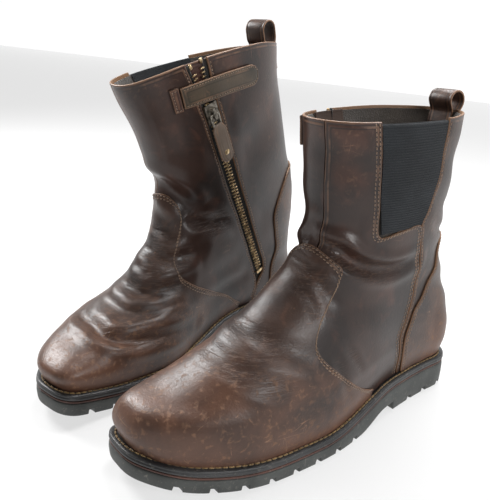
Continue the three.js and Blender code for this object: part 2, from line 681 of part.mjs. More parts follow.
// A strip of tape from under the teeth to under the quarter's edge.
function tape(skin, zip, place, side, label) {
  const thickness = 0.7;
  const sink = TOOTH_HEIGHT / 2 + 0.65;
  const rows = 12;
  const at = (depth) => (a, b) => {
    const chain = new THREE.Vector3(side * 0.6, lerp(-3, zip.length - 1, a), -sink - depth);
    chain.applyMatrix4(place);
    if (b < 0.1) return chain;
    const t = lerp(0.01, 0.99, a);
    const k = t * (zip.places.length - 1);
    const i = Math.min(zip.places.length - 2, Math.floor(k));
    const u = lerp(zip.places[i][0], zip.places[i + 1][0], k - i);
    const v = lerp(zip.places[i][1], zip.places[i + 1][1], k - i);
    const flare = ZIP_FLARE * ease(v, 0.88, 1);
    const reach = ((b > 0.9 ? ZIP_SLOT + 3 : ZIP_SLOT - 1.4) + flare) / skin.girth(v);
    const way = label === "front" ? reach : -reach;
    return skin.below(u + way, v, MIDDLE.bottom + 1.35 + depth);
  };
  return slab(rows, 2, at(0), at(thickness));
}

// The slider rides over the teeth; its link hangs from its bridge and carries the leather pull.
function addSlider(put, at) {
  const clear = 0.5;
  const low = TOOTH_HEIGHT / 2 + clear;
  const plate = 1.4;
  const body = solidOf(boxAt([SLIDER_WIDTH, SLIDER_LENGTH, plate], [0, at, low + plate / 2]));
  const reach = TOOTH_LENGTH - TOOTH_OVERLAP + 0.7;
  const flange = SLIDER_WIDTH / 2 - reach;
  let slider = body;
  for (const side of [-1, 1]) {
    const wall = boxAt([flange, SLIDER_LENGTH, 1.6], [side * (reach + flange / 2), at, low - 0.79]);
    slider = slider.add(solidOf(wall));
  }
  const bridgeTop = low + plate + 3.4;
  const postHeight = 3.4;
  const post = (y) => solidOf(boxAt([3.4, 2, postHeight], [0, at + y, low + plate + postHeight / 2 - 0.1]));
  const beam = solidOf(boxAt([3.4, 10, 1.2], [0, at, bridgeTop - 0.2]));
  slider = slider.add(post(4)).add(post(-4)).add(beam);
  put("zip_slider", geometryOf(slider), FINISH.nickel);

  // The link is a rectangular ring through the bridge; grown by a clearance it makes its own room.
  const hingeY = at - 1.2;
  const hingeZ = low + plate + 1.6;
  const wire = 1.6;
  const linkLength = 13;
  const half = 5;
  const linkRing = (grow) => {
    const ring = new THREE.Shape();
    const [x, top, foot] = [half + grow, 1 + grow, -linkLength - grow];
    ring.moveTo(-x, foot).lineTo(x, foot).lineTo(x, top).lineTo(-x, top).closePath();
    const inset = wire + 2 * grow;
    const hole = new THREE.Path();
    hole.moveTo(inset - x, foot + inset).lineTo(inset - x, top - inset);
    hole.lineTo(x - inset, top - inset).lineTo(x - inset, foot + inset).closePath();
    ring.holes.push(hole);
    const depth = wire + 2 * grow;
    const options = { depth, bevelEnabled: false };
    return new THREE.ExtrudeGeometry(ring, options).translate(0, hingeY, hingeZ - depth / 2);
  };
  put("zip_pull_link", linkRing(0), FINISH.nickel);

  // The leather pull is folded round the link's lower bar.
  const tongue = new THREE.Shape();
  const w = PULL_WIDTH / 2;
  const topY = -linkLength + wire + 2.2;
  tongue.moveTo(-w * 0.55, topY).lineTo(w * 0.55, topY).lineTo(w, topY - 6);
  tongue.lineTo(w, topY - PULL_LENGTH + w);
  tongue.absarc(0, topY - PULL_LENGTH + w, w, 0, -Math.PI, true);
  tongue.lineTo(-w, topY - 6).closePath();
  const leather = { depth: 3.6, bevelEnabled: false, curveSegments: 8 };
  const blank = new THREE.ExtrudeGeometry(tongue, leather).translate(0, hingeY, hingeZ - 1.8);
  const rivetY = hingeY + topY - PULL_LENGTH + w + 3;
  const rivetHole = new THREE.CylinderGeometry(1.7, 1.7, 8, 16).rotateX(Math.PI / 2).translate(0, rivetY, hingeZ);
  const pull = solidOf(blank).subtract(solidOf(linkRing(0.4))).subtract(solidOf(rivetHole));
  put("zip_pull_tab", geometryOf(pull), FINISH.strap);
  const stem = new THREE.CylinderGeometry(1.4, 1.4, 4.4, 16).rotateX(Math.PI / 2).translate(0, rivetY, hingeZ);
  const head = new THREE.CylinderGeometry(2.4, 2.6, 0.8, 16).rotateX(Math.PI / 2);
  const rivet = solidOf(stem).add(solidOf(head.clone().translate(0, rivetY, hingeZ + 2.5)))
    .add(solidOf(head.translate(0, rivetY, hingeZ - 2.5)));
  put("pull_rivet", geometryOf(rivet), FINISH.brass);
}

// ---------------------------------------------------------------- closure strap
const STRAP_FRONT_U = 1.8; // the sewn end, towards the toe
const STRAP_REACH = 86;

// The strap lies below the level collar's edge, whatever the collar does over the zip.
function strapDrop(skin) {
  return STRAP_DROP + 0.9 * skin.profile.innerRise;
}

function addStrap(add, skin) {
  const half = STRAP_WIDTH / 2;
  const top = skin.at(1.65, 1);
  const level = bisect(0.7, 1, (v) => strapDrop(skin) + half - top.distanceTo(skin.at(1.65, v)));
  const dv = (half * 0.04) / skin.at(1.65, level + 0.02).distanceTo(skin.at(1.65, level - 0.02));
  const du = 1 / skin.girth(level);
  const strapUv = (a, b) => {
    const end = clamp01((STRAP_REACH * a - STRAP_REACH + half) / half);
    const narrow = Math.sqrt(1 - 0.85 * end * end);
    return [STRAP_FRONT_U - 0.012 - a * STRAP_REACH * du, level + (2 * b - 1) * dv * narrow];
  };
  add("closure_strap", panel(skin, strapUv, STRAP, 16, 2), FINISH.strap);
  const anchorUv = (a, b) => [lerp(STRAP_FRONT_U + 6 * du, STRAP_FRONT_U - 1 * du, a), level + (2 * b - 1) * dv * 1.15];
  add("strap_anchor", panel(skin, anchorUv, { top: STRAP.top - 0.2, bottom: STRAP.bottom }, 2, 2), FINISH.dark);
}

// ---------------------------------------------------------------- pull loop
function addPullLoop(add, skin) {
  const back = skin.at(1, 1);
  const leg = 24;
  const thick = 1.8;
  const outer = LEATHER + 2.6;
  const inner = INNER.bottom + 3.4;
  // The loop's band in the plane of the heel: up from the outer leg, over, and down inside the collar.
  const tilt = skin.at(1, 0.97).sub(skin.at(1, 0.88));
  const lean = Math.atan2(tilt.y, tilt.z);
  const mid = (outer - inner) / 2;
  const radius = (outer + inner) / 2;
  const rise = TAB_RISE + skin.profile.loopRise - radius;
  const band = new THREE.Shape();
  band.moveTo(mid + radius + thick, -leg).lineTo(mid + radius + thick, rise);
  band.absarc(mid, rise, radius + thick, 0, Math.PI, false);
  band.lineTo(mid - radius - thick, -leg).lineTo(mid - radius, -leg).lineTo(mid - radius, rise);
  band.absarc(mid, rise, radius, Math.PI, 0, true);
  band.lineTo(mid + radius, -leg).closePath();
  const options = { depth: TAB_WIDTH, bevelEnabled: false, curveSegments: 10 };
  const loop = new THREE.ExtrudeGeometry(band, options).translate(0, 0, -TAB_WIDTH / 2);
  // Local x is outwards (+Y), local y is up, local z is across.
  const toBack = new THREE.Matrix4().makeBasis(
    new THREE.Vector3(0, Math.cos(lean), -Math.sin(lean)),
    new THREE.Vector3(0, Math.sin(lean), Math.cos(lean)),
    new THREE.Vector3(1, 0, 0),
  );
  loop.applyMatrix4(toBack.setPosition(back));
  add("pull_loop", loop, FINISH.dark);
}

// ---------------------------------------------------------------- the pair
const pair = new THREE.Group();
const leftBoot = buildBoot("left", PROFILES.left);
const rightBoot = buildBoot("right", PROFILES.right);
rightBoot.scale.x = -1;
rightBoot.rotation.z = RIGHT_BOOT_TURN;
rightBoot.position.set(-BOOT_SPACING, -RIGHT_BOOT_SETBACK, 0);
pair.add(leftBoot, rightBoot);
pair.updateMatrixWorld(true);
const box = new THREE.Box3().setFromObject(pair, true);
const centre = box.getCenter(new THREE.Vector3());
pair.position.set(-centre.x, -centre.y, -box.min.z);
pair.updateMatrixWorld(true);

export default pair;
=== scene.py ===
"""A pair of worn leather riding boots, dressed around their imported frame.

Every surface is a function of two parameters, worked out with numpy: the upper's panels lie on a
skin that is carried from the welt to the collar, and the sole's layers follow one outline.
"""
import json
import logging
from collections.abc import Callable, Sequence
from dataclasses import dataclass, field
from enum import Enum

import bpy
import numpy as np
from mathutils import Matrix, Vector


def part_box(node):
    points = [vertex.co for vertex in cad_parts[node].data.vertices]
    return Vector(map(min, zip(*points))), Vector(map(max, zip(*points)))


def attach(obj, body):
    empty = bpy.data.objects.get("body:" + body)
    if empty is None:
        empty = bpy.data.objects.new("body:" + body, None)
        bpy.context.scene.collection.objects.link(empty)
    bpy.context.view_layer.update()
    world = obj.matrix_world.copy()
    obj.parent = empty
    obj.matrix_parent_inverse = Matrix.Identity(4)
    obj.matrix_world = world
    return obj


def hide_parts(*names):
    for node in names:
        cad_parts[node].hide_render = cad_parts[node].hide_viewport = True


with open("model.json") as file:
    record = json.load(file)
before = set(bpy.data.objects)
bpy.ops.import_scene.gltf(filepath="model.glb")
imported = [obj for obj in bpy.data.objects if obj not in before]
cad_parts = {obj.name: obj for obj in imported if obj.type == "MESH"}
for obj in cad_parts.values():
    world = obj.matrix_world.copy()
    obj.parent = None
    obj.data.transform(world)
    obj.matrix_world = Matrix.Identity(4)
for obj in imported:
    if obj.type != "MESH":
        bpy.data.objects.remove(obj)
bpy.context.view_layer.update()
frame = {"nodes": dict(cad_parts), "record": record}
MM = 0.001

Array = np.ndarray
Place = tuple[Array, Array]  # u and v on the skin
Shape = tuple[Array, Array]  # points and faces
Line = Sequence[tuple[float, float]]
log = logging.getLogger("boots")

# Steps from a cut edge, in millimetres, that its rounded border needs.
EDGE_STEPS = (0, 0.12, 0.3, 0.55, 0.9, 1.4, 1.9, 2.4, 3.0, 3.8)


# ---------------------------------------------------------------- curves
def lerp(a: float | Array, b: float | Array, t: float | Array) -> float | Array:
    """The value at share t of the way from a to b."""
    return a + (b - a) * t


def ease(x: float | Array, low: float, high: float) -> float | Array:
    """A smooth step: 0 below low, 1 above high, and 3t^2 - 2t^3 between them."""
    t = np.clip((x - low) / (high - low), 0, 1)
    return t * t * (3 - 2 * t)


def bell(x: float | Array, width: float) -> float | Array:
    """A bump of height 1 round x = 0: exp(-(x / width)^2)."""
    return np.exp(-((x / width) ** 2))


def through(x: float | Array, xs: Sequence[float], ys: Sequence[float]) -> Array:
    """A smooth curve through the points (xs, ys).

    Each stretch is a cubic in the Hermite form; the slope at a point weighs the two neighbouring
    slopes by each other's length.

    Args:
        x: Where the curve is read.
        xs: The points' places, rising.
        ys: The points' heights.

    Returns:
        The heights at x.
    """
    x, xs, ys = np.asarray(x, float), np.asarray(xs, float), np.asarray(ys, float)
    step = np.diff(xs)
    rise = np.diff(ys) / step
    inner = (rise[1:] * step[:-1] + rise[:-1] * step[1:]) / (step[1:] + step[:-1])
    slope = np.concatenate([rise[:1], inner, rise[-1:]])
    i = np.searchsorted(xs[1:-1], x, side="left")
    h = step[i]
    t = np.clip((x - xs[i]) / h, 0, 1)
    a = ys[i] * (2 * t**3 - 3 * t**2 + 1) + ys[i + 1] * (3 * t**2 - 2 * t**3)
    return a + h * (slope[i] * (t**3 - 2 * t**2 + t) + slope[i + 1] * (t**3 - t**2))


def along(points: Line, t: float | Array) -> Place:
    """The place at share t of a smooth line through points spaced evenly in t."""
    table = np.asarray(points, float)
    ticks = np.linspace(0, 1, len(table))
    t = np.clip(t, 0, 1)
    return through(t, ticks, table[:, 0]), through(t, ticks, table[:, 1])


def unit(v: Array) -> Array:
    """Vectors of length 1 along the last axis."""
    return v / np.maximum(np.linalg.norm(v, axis=-1, keepdims=True), 1e-12)


def run_along(points: Array, axis: int) -> Array:
    """The length run along one axis of a grid of points, from 0 at its start."""
    steps = np.linalg.norm(np.diff(points, axis=axis), axis=-1)
    return np.concatenate([np.zeros_like(np.take(steps, [0], axis)), np.cumsum(steps, axis)], axis)


def crowd(length: float, pitch: float) -> Array:
    """Shares 0..1 of a width in metres, a pitch apart, that crowd at both cut edges.

    Args:
        length: The width that the shares divide.
        pitch: The step away from the edges.

    Returns:
        Rising shares from 0 to 1.
    """
    ends = np.array(EDGE_STEPS) * MM
    reach = ends[-1]
    least = 2.4  # widths below this many reaches take closer steps
    if length < least * reach:
        ends = ends * length / (least * reach)
        reach = length / least
    count = max(2, int(np.ceil((length - 2 * reach) / pitch)))
    middle = np.linspace(reach, length - reach, count + 1)
    return np.unique(np.concatenate([ends, middle, length - ends])) / length


# ---------------------------------------------------------------- meshes
def grid_faces(rows: int, columns: int, start: int = 0, wrap: bool = False) -> Array:
    """The quads of a grid of points stored row by row.

    Args:
        rows: Points down the grid.
        columns: Points across it.
        start: The first point's index.
        wrap: Whether the last column joins the first.

    Returns:
        An array of quads.
    """
    across = columns if wrap else columns - 1
    i, j = np.meshgrid(np.arange(rows - 1), np.arange(across), indexing="ij")
    k = (j + 1) % columns
    top, low = i * columns, (i + 1) * columns
    return np.stack([top + j, top + k, low + k, low + j], -1).reshape(-1, 4) + start


def slab_faces(rows: int, columns: int) -> Array:
    """The quads of a closed sheet: a top grid, a bottom grid and the walls round their borders.

    Args:
        rows: Points down each grid.
        columns: Points across it.

    Returns:
        An array of quads; the bottom grid's points follow the top's.
    """
    top = grid_faces(rows, columns)
    low = grid_faces(rows, columns, rows * columns)[:, ::-1]
    index = np.arange(rows * columns).reshape(rows, columns)
    border = np.concatenate([index[0, :-1], index[:-1, -1], index[-1, :0:-1], index[:0:-1, 0]])
    following = np.roll(border, -1)
    shift = rows * columns
    wall = np.stack([border, border + shift, following + shift, following], -1)
    return np.concatenate([top, low, wall])


def make_piece(name: str, shape: Shape, body: str, material: bpy.types.Material,
               stands_for: Sequence[str], attributes: dict[str, Array] | None = None,
               skin_map: Array | None = None) -> bpy.types.Object:
    """Turns a shape into a finished piece that rides on a body.

    Args:
        name: The piece's name.
        shape: Its points in metres, in the row's frame, and its quads; they are turned outwards
            if need be, which the sign of the enclosed volume tells.
        body: The body that it rides on.
        material: Its finish.
        stands_for: The frame's nodes that it replaces.
        attributes: Named values, one for each point.
        skin_map: A map place for each point, in metres on the skin.

    Returns:
        The new object.
    """
    points, faces = shape
    corners = points[faces]
    fan = np.concatenate([corners[:, [0, 1, 2]], corners[:, [0, 2, 3]]])
    if np.einsum("ij,ij->", fan[:, 0], np.cross(fan[:, 1], fan[:, 2])) < 0:
        faces = faces[:, ::-1]
    mesh = bpy.data.meshes.new(name)
    size = faces.shape[1]
    mesh.vertices.add(len(points))
    mesh.vertices.foreach_set("co", np.ascontiguousarray(points, np.float32).ravel())
    mesh.loops.add(faces.size)
    mesh.loops.foreach_set("vertex_index", np.ascontiguousarray(faces, np.int32).ravel())
    mesh.polygons.add(len(faces))
    mesh.polygons.foreach_set("loop_start", np.arange(0, faces.size, size, dtype=np.int32))
    mesh.polygons.foreach_set("use_smooth", np.ones(len(faces), bool))
    mesh.update(calc_edges=True)
    mesh.validate()
    for key, values in (attributes or {}).items():
        layer = mesh.attributes.new(key, "FLOAT", "POINT")
        layer.data.foreach_set("value", np.ascontiguousarray(values, np.float32).ravel())
    if skin_map is not None:
        layer = mesh.uv_layers.new(name="Skin")
        layer.data.foreach_set("uv", np.ascontiguousarray(skin_map[faces.ravel()], np.float32).ravel())
    mesh.materials.append(material)
    piece = bpy.data.objects.new(name, mesh)
    bpy.context.scene.collection.objects.link(piece)
    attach(piece, body)
    if stands_for:
        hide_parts(*stands_for)
    log.info("%s: %d faces", name, len(faces))
    return piece


def copies(shape: Shape, origins: Array, x: Array, y: Array, z: Array) -> Shape:
    """One shape set at many places: origin + x X + y Y + z Z for each point (x, y, z) of it.

    Args:
        shape: Its points round 0 and its quads.
        origins: The places.
        x: The direction X at each place, or one for all.
        y: The same for Y.
        z: The same for Z.

    Returns:
        All copies as one shape.
    """
    base, faces = shape
    x, y, z = (np.broadcast_to(way, origins.shape)[:, None] for way in (x, y, z))
    points = origins[:, None] + base[None, :, :1] * x + base[None, :, 1:2] * y + base[None, :, 2:] * z
    shift = np.arange(len(origins))[:, None, None] * len(base)
    return points.reshape(-1, 3), (faces[None] + shift).reshape(-1, faces.shape[1])


def joined(parts: Sequence[Shape]) -> Shape:
    """Several shapes as one."""
    starts = np.cumsum([0] + [len(points) for points, _ in parts[:-1]])
    faces = [quads + start for (_, quads), start in zip(parts, starts)]
    return np.concatenate([points for points, _ in parts]), np.concatenate(faces)


def cap_faces(start: int, count: int, flip: bool) -> Array:
    """Quads that close a ring of an even number of points, as rungs from one side to the other.

    Args:
        start: The ring's first point.
        count: Its number of points.
        flip: Whether the quads face the other way.

    Returns:
        An array of quads.
    """
    i = np.arange(count // 2 - 1)
    quads = np.stack([i, i + 1, count - 2 - i, count - 1 - i], -1) + start
    return quads[:, ::-1] if flip else quads


def tube_mesh(rings: Array) -> Shape:
    """A closed tube from rings of points, rows by ring, with its two ends capped."""
    rows, count = rings.shape[:2]
    caps = [cap_faces(0, count, True), cap_faces((rows - 1) * count, count, False)]
    return rings.reshape(-1, 3), np.concatenate([grid_faces(rows, count, wrap=True), *caps])


def ring_mesh(rings: Array) -> Shape:
    """A closed hoop: rings of points whose last ring joins the first."""
    rows, count = rings.shape[:2]
    faces = grid_faces(rows + 1, count, wrap=True) % (rows * count)
    return rings.reshape(-1, 3), faces


def pill(length: float, width: float, height: float, turns: int = 8, rings: int = 6) -> Shape:
    """A stitch or stud in millimetres: an ellipse carried along x, as wide as sin(angle)^0.6.

    Args:
        length: Its size along x.
        width: Its size along y.
        height: Its size along z.
        turns: Points round it.
        rings: Rings along it.

    Returns:
        Its points in metres and its quads.
    """
    angle = np.linspace(0.04, np.pi - 0.04, rings)
    round_ = np.linspace(0, 2 * np.pi, turns, endpoint=False)
    swell = np.sin(angle)[:, None] ** 0.6
    x = np.repeat(-np.cos(angle)[:, None] * length / 2, turns, axis=1)
    points = np.stack([x, swell * np.cos(round_) * width / 2, swell * np.sin(round_) * height / 2], -1)
    return tube_mesh(points * MM)


def oval(angle: Array, wide_power: float, deep_power: float) -> tuple[Array, Array]:
    """A superellipse's two coordinates: cos and sin, each with its size raised to its power.

    Args:
        angle: Where round it.
        wide_power: The power on the cosine; below 1 squares it.
        deep_power: The same on the sine.

    Returns:
        The two coordinates, from -1 to 1.
    """
    c, s = np.cos(angle), np.sin(angle)
    return np.sign(c) * np.abs(c) ** wide_power, np.sign(s) * np.abs(s) ** deep_power


# ---------------------------------------------------------------- shader maths
class Value:
    """A shader socket that takes part in Python arithmetic."""

    def __init__(self, graph: "Graph", socket: bpy.types.NodeSocket) -> None:
        """Keeps the graph and the socket."""
        self.graph = graph
        self.socket = socket

    def math(self, operation: str, *others: "Value | float") -> "Value":
        """A Math node on this value and the others."""
        return self.graph.node("ShaderNodeMath", {"operation": operation}, dict(enumerate((self, *others))))

    def __add__(self, other: "Value | float") -> "Value":
        """self + other."""
        return self.math("ADD", other)

    def __sub__(self, other: "Value | float") -> "Value":
        """self - other."""
        return self.math("SUBTRACT", other)

    def __rsub__(self, other: float) -> "Value":
        """other - self."""
        return self.graph.node("ShaderNodeMath", {"operation": "SUBTRACT"}, {0: other, 1: self})

    def __mul__(self, other: "Value | float") -> "Value":
        """self * other."""
        return self.math("MULTIPLY", other)

    def step(self, low: float, high: float) -> "Value":
        """A smooth step from 0 at low to 1 at high; low above high turns it round."""
        ends = {1: low, 2: high, 3: 0.0, 4: 1.0} if low < high else {1: high, 2: low, 3: 1.0, 4: 0.0}
        settings = {"interpolation_type": "SMOOTHSTEP"}
        return self.graph.node("ShaderNodeMapRange", settings, {0: self, **ends})

    def line(self, middle: float, wide: float, narrow: float = 0.0) -> "Value":
        """1 where the value is middle, falling to 0 where it is off by wide."""
        return (self - middle).math("ABSOLUTE").step(wide, narrow)

    __radd__ = __add__
    __rmul__ = __mul__


Colour = tuple[float, float, float]


class Graph:
    """A material under construction."""

    def __init__(self, name: str) -> None:
        """Starts an empty material with one Principled shader."""
        self.material = bpy.data.materials.new(name)
        self.material.use_nodes = True
        self.tree = self.material.node_tree
        self.tree.nodes.clear()
        self.shader = self.tree.nodes.new("ShaderNodeBsdfPrincipled")
        output = self.tree.nodes.new("ShaderNodeOutputMaterial")
        self.tree.links.new(self.shader.outputs[0], output.inputs[0])

    def put(self, socket: bpy.types.NodeSocket, value: "Value | float | Colour") -> None:
        """Links or sets one socket."""
        if isinstance(value, Value):
            self.tree.links.new(value.socket, socket)
        elif isinstance(value, tuple) and len(value) == 3 and socket.type == "RGBA":
            socket.default_value = (*value, 1.0)
        else:
            socket.default_value = value

    def node(self, kind: str, settings: dict, inputs: dict, output: int | str = 0) -> Value:
        """Adds a node.

        Args:
            kind: The node's type.
            settings: Properties that are set first.
            inputs: Values or links by socket.
            output: The socket that is handed on.

        Returns:
            The node's output.
        """
        made = self.tree.nodes.new(kind)
        for key, value in settings.items():
            setattr(made, key, value)
        for key, value in inputs.items():
            self.put(made.inputs[key], value)
        return Value(self, made.outputs[output])

    def finish(self, **sockets: "Value | float | Colour") -> bpy.types.Material:
        """Sets the shader's sockets; an underscore in a name stands for a space."""
        for key, value in sockets.items():
            self.put(self.shader.inputs[key.replace("_", " ")], value)
        return self.material

    def place(self) -> Value:
        """Object coordinates."""
        return self.node("ShaderNodeTexCoord", {}, {}, "Object")

    def skin(self, across: float, up: float) -> Value:
        """The skin's own map, stretched by across and up."""
        made = self.node("ShaderNodeUVMap", {"uv_map": "Skin"}, {})
        return self.node("ShaderNodeMapping", {}, {"Vector": made, "Scale": (across, up, 1.0)})

    def read(self, name: str) -> Value:
        """A named value of the mesh."""
        return self.node("ShaderNodeAttribute", {"attribute_name": name}, {}, "Fac")

    def noise(self, at: Value, scale: float, detail: float = 3.0, warp: float = 0.0) -> Value:
        """Cloudy noise from 0 to 1."""
        inputs = {"Vector": at, "Scale": scale, "Detail": detail, "Distortion": warp}
        return self.node("ShaderNodeTexNoise", {}, inputs, 0)

    def cells(self, at: Value, scale: float, feature: str = "F1") -> Value:
        """Distance in a pattern of cells."""
        return self.node("ShaderNodeTexVoronoi", {"feature": feature}, {"Vector": at, "Scale": scale}, 0)

    def mix(self, share: "Value | float", a: "Value | Colour", b: "Value | Colour") -> Value:
        """The colour at a share of the way from a to b."""
        return self.node("ShaderNodeMix", {"data_type": "RGBA"}, {0: share, 6: a, 7: b}, 2)

    def bump(self, height: Value, depth: float, strength: float) -> Value:
        """A normal bent by a height field whose full range is depth metres."""
        return self.node("ShaderNodeBump", {}, {"Height": height, "Distance": depth, "Strength": strength})


@dataclass(frozen=True)
class Leather:
    """An oiled leather: deep, body and warm tones, worn lights, and its raw cut edge."""

    name: str
    deep: Colour
    body: Colour
    warm: Colour
    worn: Colour = (0.235, 0.125, 0.070)
    raw: Colour = (0.20, 0.112, 0.062)
    gloss: float = 0.40
    scuffs: float = 1.0
    grain: float = 1.0

    # Each pattern's fineness, in repeats for each metre.
    BROAD = 17.0
    MOTTLE = 26.0
    RUB_PATCH = 48.0
    PATCH = 62.0
    SCUFF = 240.0
    SPECK = 420.0
    PEBBLE = 760.0
    # The same round the boot and up it.
    FLEX_LINES = (38.0, 330.0)
    LONG_SCRATCHES = (26.0, 120.0)
    SHORT_SCRATCHES = (150.0, 34.0)
    # Distances from a cut edge in millimetres: the two stitch rows, darkened with painted shade, and the
    # rub between them.
    NEAR_ROW = 2.05
    FAR_ROW = 4.65
    BETWEEN_ROWS = 3.35

    def material(self) -> bpy.types.Material:
        """Cloudy tones, tan rims, scratches, flex lines, painted shade in the creases and along the stitch
        rows, and a fine pebbled grain.
        """
        g = Graph(self.name)
        at = g.place()
        edge, flex, worn = g.read("edge"), g.read("flex"), g.read("worn")
        broad = g.noise(at, self.BROAD, 5.0, 0.4)
        patch = g.noise(at, self.PATCH, 6.0, 0.6)
        speck = g.noise(at, self.SPECK, 4.0)
        tone = g.mix(broad.step(0.36, 0.62), self.deep, self.body)
        tone = g.mix(patch.step(0.52, 0.78) * 0.55, tone, self.warm)
        mottle = g.noise(at, self.MOTTLE, 6.0, 0.25)
        tone = g.mix((worn * 0.9 + mottle * 1.5 - 0.80).step(0.25, 0.95) * 0.85, tone, self.warm)
        tone = g.mix(worn * mottle.step(0.60, 0.36) * 0.30, tone, self.deep)
        # Flex lines: narrow bands of a noise that is long round the boot and short up it.
        line = g.noise(g.skin(*self.FLEX_LINES), 1.0, 5.0, 1.6).line(0.5, 0.05)
        creased = flex.step(0.15, 0.9)
        tone = g.mix(line * creased * speck.step(0.35, 0.6) * 0.34, tone, self.worn)
        # Painted shade: the creased areas are darkened towards the deep tone.
        tone = g.mix(creased * 0.25, tone, self.deep)
        # Scratches: thin level sets of a warped noise, kept in patches.
        long_ = g.noise(g.skin(*self.LONG_SCRATCHES), 1.0, 1.0, 0.8).line(0.5, 0.006)
        short = g.noise(g.skin(*self.SHORT_SCRATCHES), 1.0, 1.0, 0.8).line(0.5, 0.008)
        patchy = g.noise(at, self.RUB_PATCH, 3.0, 0.5).step(0.56, 0.64)
        scratch = (long_ + short).math("MINIMUM", 1.0) * patchy
        rub = (worn * 0.75 + 0.28).math("MINIMUM", 1.0) * self.scuffs
        tone = g.mix(scratch * rub, tone, self.worn)
        rubbed_area = (worn * 1.5 + mottle - 0.95).step(0.0, 0.8)
        scuff = g.noise(at, self.SCUFF, 8.0, 0.4).step(0.52, 0.72) * rubbed_area * self.scuffs
        tone = g.mix(scuff * 0.5, tone, self.worn)
        # Rims: the cut edge is raw, and the finish beside it is rubbed through here and there.
        rubbed = (edge + patch * 3.0 - 1.5).step(1.5, 0.1) * 0.5
        beside = edge.line(self.BETWEEN_ROWS, 1.5, 0.5) * patch.step(0.40, 0.60) * 0.34
        stitch_groove_shade = edge.line(self.NEAR_ROW, 0.75, 0.25) + edge.line(self.FAR_ROW, 0.75, 0.25)
        tone = g.mix(beside, g.mix(rubbed, tone, self.worn), self.worn)
        # Painted shade: the leather along the two stitch rows is darkened towards the deep tone, as in
        # shaded grooves.
        tone = g.mix(stitch_groove_shade * 0.72, tone, self.deep)
        tone = g.mix(edge.step(0.34, 0.05), tone, g.mix(speck, self.raw, self.worn))
        tone = g.mix(edge.step(0.0, -0.5), tone, self.raw)
        rough = speck * 0.14 + rubbed * 0.22 + creased * line * 0.18 + scuff * 0.2 + (self.gloss - 0.07)
        pebble = g.cells(at, self.PEBBLE, "SMOOTH_F1") * 0.5 * self.grain
        height = pebble + speck * 0.35 - line * creased * 0.9 - scratch * rub * 0.3 + scuff * 0.3
        normal = g.bump(height, 0.00022, 0.75)
        return g.finish(Base_Color=tone, Roughness=rough, Normal=normal, Specular_IOR_Level=0.40)


@dataclass(frozen=True)
class Cloth:
    """A woven or brushed fabric."""

    name: str
    dark: Colour
    light: Colour
    threads: float = 1500.0
    rough: float = 0.92
    nap: float = 0.3

    def material(self) -> bpy.types.Material:
        """Two tones over a crossed weave, with the nap's soft sheen."""
        g = Graph(self.name)
        at = g.place()
        weave = g.cells(at, self.threads)
        cloud = g.noise(at, 45.0, 5.0)
        tone = g.mix(cloud.step(0.3, 0.7) * 0.6 + weave * 0.4, self.dark, self.light)
        normal = g.bump(weave + g.noise(at, 600.0, 3.0), 0.0003, 0.7)
        return g.finish(Base_Color=tone, Roughness=self.rough, Normal=normal, Sheen_Weight=self.nap)


@dataclass(frozen=True)
class Rubber:
    """A scuffed sole rubber or a waxed edge, dusted with pale grit."""

    name: str
    dark: Colour
    light: Colour
    rough: float = 0.68

    GRIT = (0.27, 0.25, 0.21)

    def material(self) -> bpy.types.Material:
        """A cloudy grey with grit specks and scrapes along the edge."""
        g = Graph(self.name)
        at = g.place()
        cloud = g.noise(at, 38.0, 6.0)
        grit = g.noise(at, 520.0, 5.0).step(0.58, 0.76)
        scrape = g.noise(at, 130.0, 8.0, 1.5).step(0.60, 0.72)
        tone = g.mix(cloud.step(0.3, 0.7), self.dark, self.light)
        tone = g.mix(grit * 0.4 + scrape * 0.25, tone, self.GRIT)
        rough = grit * 0.2 + cloud * 0.1 + (self.rough - 0.1)
        normal = g.bump(g.noise(at, 900.0, 4.0) + scrape * 0.8, 0.00025, 0.7)
        return g.finish(Base_Color=tone, Roughness=rough, Normal=normal)


@dataclass(frozen=True)
class Metal:
    """A worn metal with tarnish in its cloudy low spots."""

    name: str
    bright: Colour
    tarnish: Colour
    rough: float = 0.32

    def material(self) -> bpy.types.Material:
        """Bright metal mixed with tarnish by noise, and a faintly pitted surface."""
        g = Graph(self.name)
        at = g.place()
        cloud = g.noise(at, 260.0, 6.0)
        tone = g.mix(cloud.step(0.38, 0.66), self.bright, self.tarnish)
        rough = cloud * 0.3 + (self.rough - 0.12)
        normal = g.bump(g.noise(at, 1500.0, 3.0), 0.00008, 0.6)
        return g.finish(Base_Color=tone, Metallic=0.95, Roughness=rough, Normal=normal)


def made(finish: Leather | Cloth | Rubber | Metal) -> bpy.types.Material:
    """A dataclass field that makes the finish's material when its owner is made."""
    return field(default_factory=finish.material)


